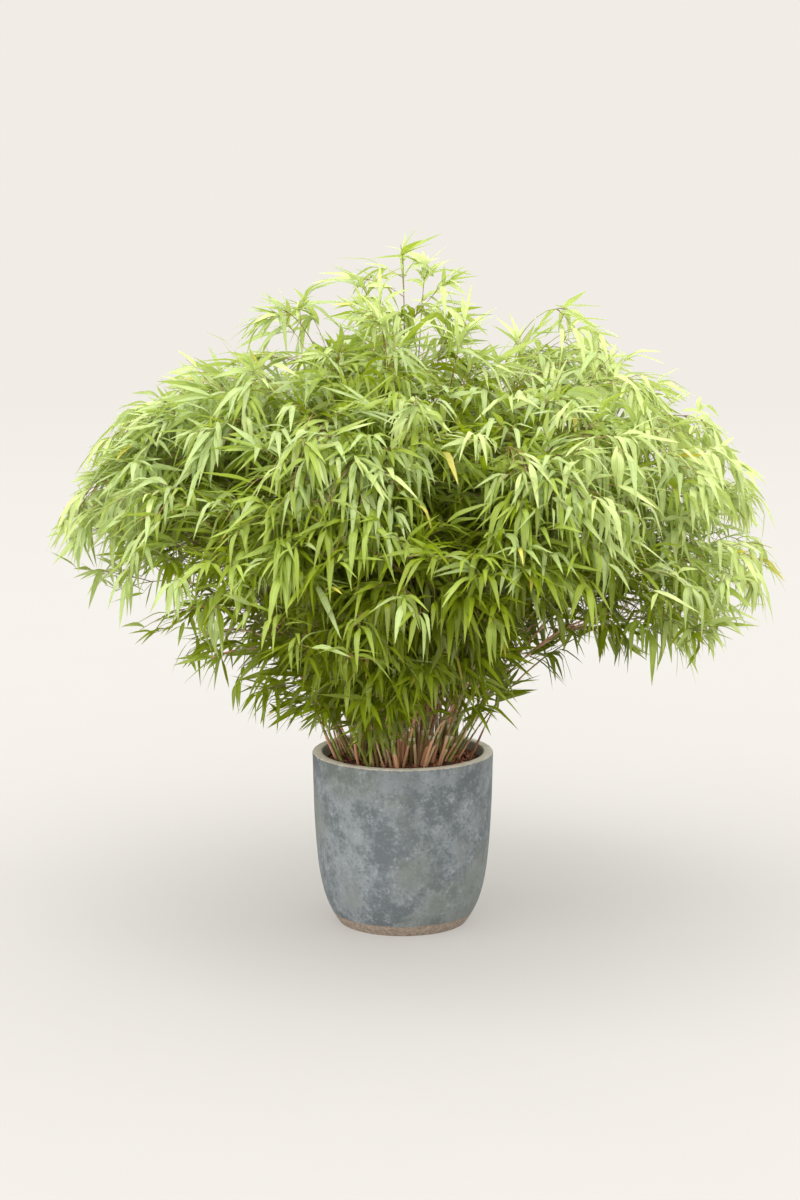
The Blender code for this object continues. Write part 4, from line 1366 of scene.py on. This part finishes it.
    def kept_leaves(self, leaves):
        """Leaves whose tips stay in the crown's outline and out of the pot."""
        way = ways_of(leaves["heading"], leaves["pitch"] - leaves["bend"] * 0.8)
        tip = leaves["root"] + leaves["length"][:, None] * way
        kept = inside_outline(tip) > -np.where(tip[:, 2] < LOW_HEIGHT, LOW_ROOM, OUTLINE_ROOM)
        for share in (0.5, 1.0):
            point = leaves["root"] * (1 - share) + tip * share
            out = np.hypot(point[:, 0], point[:, 1])
            kept &= (out > POT_ROOM) | (point[:, 2] > POT_HEIGHT + RIM_ROOM)
        return {name: values[kept] for name, values in leaves.items()}

    def kinds_of(self, ends, spray):
        """Each leaf's colour, by spray: painted light at the top and the edge, painted shade deep inside and
        low. A few are yellow.
        """
        rng = self.rng
        height, across = ends[:, 2], ends[:, 0] / CROWN_REACH
        # Painted light and shade: the score is higher near the outline, high up and at the sides, and picks a
        # lighter kind there.
        light = 1.00 - inside_outline(ends) / 0.20 + (height - 0.95) * 1.45 + 0.32 * across + 1.40 * across**2
        sunlit = 0.40 * ramp(across, 0.05, 0.4) * ramp(height, 1.05, 1.3)
        # Painted shade: leaves low in the middle of the crown get a darker kind.
        light += sunlit - 0.58 * (1 - across**2) * ramp(-height, -1.20, -0.95)
        even = ramp(-across, 0.1, 0.5)
        light += rng.normal(0, 0.56, len(ends)) * (1 - 0.35 * even) + 0.15 * even
        # Painted shade: darker kinds still below 0.85 m.
        light -= 1.2 * np.maximum(0, 0.85 - height)
        steps = [light > 1.25 + 0.55 * even, light > 0.75, light > 0.15, light > -0.6]
        kinds = np.select(steps, range(len(steps)), len(steps))
        return np.where(rng.random(len(spray)) < YELLOW_SHARE, len(steps) + 1, kinds[spray])


DRY_TIP = srgb(190, 160, 104)
LEAF_LOOKS = {  # the vein's colour, the colour of the light that comes through, and the roughness
    # From light to shaded the kinds are painted light and shade: one green, made lighter where light falls
    # and darker in shade. Their through colours follow suit.
    "light": (srgb(224, 230, 178), srgb(186, 204, 110), 0.34),
    # Pale is a painted sheen: the sky's bluish-white reflection on the blades' tops.
    "pale": (srgb(214, 224, 180), srgb(180, 198, 88), 0.30),
    "fresh": (srgb(196, 212, 120), srgb(172, 192, 60), 0.34),
    "deep": (srgb(150, 176, 84), srgb(150, 168, 20), 0.34),
    "shaded": (srgb(120, 146, 60), srgb(116, 132, 12), 0.34),
    "yellow": (srgb(222, 206, 120), srgb(196, 186, 62), 0.34),
}
TWIG_TONES = {
    "twig_brown": (srgb(112, 78, 60), srgb(170, 132, 100)),
    "twig_green": (srgb(108, 108, 50), srgb(158, 150, 82)),
}
TWIG_TAPER = np.linspace(1.0, 0.45, TWIG_POINTS)
TWIG_RADIUS = 0.0008
TWIG_GROWTH = 0.0020  # of its length
TWIG_SIDES = 4
TWIGLET_RADII = np.array([0.0008, 0.0007, 0.0005])
TWIGLET_SIDES = 3


class BAMBOO_OT_foliage(bpy.types.Operator):
    """Grow the twigs and leaves of each tier on from its canes"""

    bl_idname = "bamboo.foliage"
    bl_label = "Foliage"

    def execute(self, context):
        settings = context.scene.bamboo.foliage
        cane_settings = context.scene.bamboo.canes
        masses, leading, fill = plan_crown(cane_settings.fill_canes, cane_settings.young_canes)
        crown = Crown(settings, masses, leading + fill)
        leaf_kinds = []
        for name, (vein, through, gloss) in LEAF_LOOKS.items():
            blade = getattr(settings, name)
            leaf_kinds.append(leaf_material(f"leaf_{name}", blade, vein, DRY_TIP, through, gloss))
        twig_kinds = [twig_material(name, *tones) for name, tones in TWIG_TONES.items()]
        for tier in TIERS:
            leaves, twigs = Build(), Build()
            own = [index for index, mass in enumerate(masses) if mass.tier == tier]
            mine = np.isin(crown.owners, own)
            lengths = crown.lengths[mine]
            wide = TWIG_TAPER * (TWIG_RADIUS + TWIG_GROWTH * lengths)[:, None]
            kinds = crown.rng.integers(0, 4, len(lengths)) // 3
            add_tubes(twigs, crown.twigs[mine], wide, TWIG_SIDES, np.zeros(wide.shape), kinds)
            twiglets = crown.twiglets[np.isin(crown.twiglet_owners, own)]
            thin = TWIGLET_RADII[None].repeat(len(twiglets), axis=0)
            kinds = crown.rng.integers(0, 3, len(twiglets)) // 2
            add_tubes(twigs, twiglets, thin, TWIGLET_SIDES, np.zeros(thin.shape), kinds)
            mine = np.isin(crown.end_owners, own)
            blades = crown.kept_leaves(crown.leaves_of(crown.ends[mine], crown.ways[mine]))
            add_leaves(leaves, blades, crown.kinds_of(crown.ends[mine], blades["spray"]))
            names = [f"foliage_{masses[index].name}" for index in own]
            pieces = leaves.piece(f"leaves_{tier}", leaf_kinds), twigs.piece(f"twigs_{tier}", twig_kinds)
            for piece in pieces:
                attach(piece, "root")
                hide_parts(*names)
        return {"FINISHED"}


# ---------------------------------------------------------------- stage


FLOOR_SIDES = 64
FLOOR_REACH = 80.0
FLOOR_MOTTLE = 0.97
HORIZON_FADE = (2.5, 14.0)  # distances over which the floor fades into the sky
KEY_PLACE = (-2.2, -4.4, 3.6)
KEY_SPREAD = 110
BACK_PLACE = (2.2, 2.0, 4.8)
BACK_SPREAD = 120
BACK_SHARE = 0.65  # of the key's strength
CAMERA_PLACE = (-0.0065, -6.422, 1.851)
CAMERA_TILT = 9.67  # degrees down from level


def soft_lamp(name, strength, spread, place, colour):
    """A wide even light that shines from the place towards the plant."""
    lamp = bpy.data.lights.new(name, "SUN")
    lamp.energy = strength
    lamp.angle = math.radians(spread)
    lamp.color = colour
    made = bpy.data.objects.new(name, lamp)
    made.location = place
    made.rotation_euler = (-Vector(place)).to_track_quat("-Z", "Y").to_euler()
    bpy.context.scene.collection.objects.link(made)


class BAMBOO_OT_stage(bpy.types.Operator):
    """Lay the floor, and set the lights and the camera"""

    bl_idname = "bamboo.stage"
    bl_label = "Stage"

    def execute(self, context):
        scene = context.scene
        settings = scene.bamboo.stage
        mesh = bpy.data.meshes.new("floor")
        turn = 2 * np.pi * np.arange(FLOOR_SIDES) / FLOOR_SIDES
        rim = [(FLOOR_REACH * math.cos(t), FLOOR_REACH * math.sin(t), 0.0) for t in turn]
        mesh.from_pydata(rim, [], [tuple(range(FLOOR_SIDES))])
        floor = bpy.data.objects.new("floor", mesh)
        scene.collection.objects.link(floor)

        def paint(graph):
            place = object_place(graph)
            mottle = place.noise(2.5, 3.0, 0.5)
            away = place.vector("LENGTH", output="Value").band(*HORIZON_FADE)
            dark = dimmed(settings.floor, FLOOR_MOTTLE)
            colour = away.between(mottle.between(dark, settings.floor), (0, 0, 0))
            haze = away.between(dimmed(settings.wall, settings.floor_glow), settings.wall)
            others = {"Specular IOR Level": 0.0, "Emission Color": haze, "Emission Strength": 1.0}
            return colour, 0.9, mottle, 0.0005, others

        mesh.materials.append(shaded("floor", paint))
        world = bpy.data.worlds.new("soft_sky")
        world.use_nodes = True
        sky = world.node_tree.nodes["Background"]
        sky.inputs["Color"].default_value = colour4(settings.wall)
        sky.inputs["Strength"].default_value = 1.0
        scene.world = world
        scene.view_settings.view_transform = "Standard"
        soft_lamp("key", settings.key, KEY_SPREAD, KEY_PLACE, (1.0, 0.99, 0.97))
        soft_lamp("back", settings.key * BACK_SHARE, BACK_SPREAD, BACK_PLACE, (1.0, 1.0, 1.0))
        camera = bpy.data.cameras.new("camera")
        camera.lens = 85.0
        camera.sensor_width = 36.0
        made = bpy.data.objects.new("camera", camera)
        made.location = CAMERA_PLACE
        made.rotation_euler = (math.radians(90 - CAMERA_TILT), 0, 0)
        scene.collection.objects.link(made)
        scene.camera = made
        return {"FINISHED"}


class BAMBOO_PT_sidebar(bpy.types.Panel):
    """The steps that dress the bamboo, with their sizes and colours"""

    bl_idname = "BAMBOO_PT_sidebar"
    bl_label = "Potted bamboo"
    bl_space_type = "VIEW_3D"
    bl_region_type = "UI"
    bl_category = "Bamboo"

    def draw(self, context):
        for operator in OPERATORS:
            self.layout.operator(operator.bl_idname)
        for group in ("pot", "mulch", "canes", "foliage", "stage"):
            settings = getattr(context.scene.bamboo, group)
            box = self.layout.box()
            for name in settings.bl_rna.properties.keys():
                if name not in ("rna_type", "name"):
                    box.prop(settings, name)


OPERATORS = (BAMBOO_OT_pot, BAMBOO_OT_mulch, BAMBOO_OT_canes, BAMBOO_OT_foliage, BAMBOO_OT_stage)
GROUPS = (PotSettings, MulchSettings, CaneSettings, FoliageSettings, StageSettings, BambooSettings)
CLASSES = (*GROUPS, *OPERATORS, BAMBOO_PT_sidebar)


def register():
    for cls in CLASSES:
        bpy.utils.register_class(cls)
    bpy.types.Scene.bamboo = PointerProperty(type=BambooSettings)


def unregister():
    del bpy.types.Scene.bamboo
    for cls in reversed(CLASSES):
        bpy.utils.unregister_class(cls)


def main():
    register()
    bpy.ops.bamboo.pot()
    bpy.ops.bamboo.mulch()
    bpy.ops.bamboo.canes()
    bpy.ops.bamboo.foliage()
    bpy.ops.bamboo.stage()


if __name__ == "__main__":
    main()
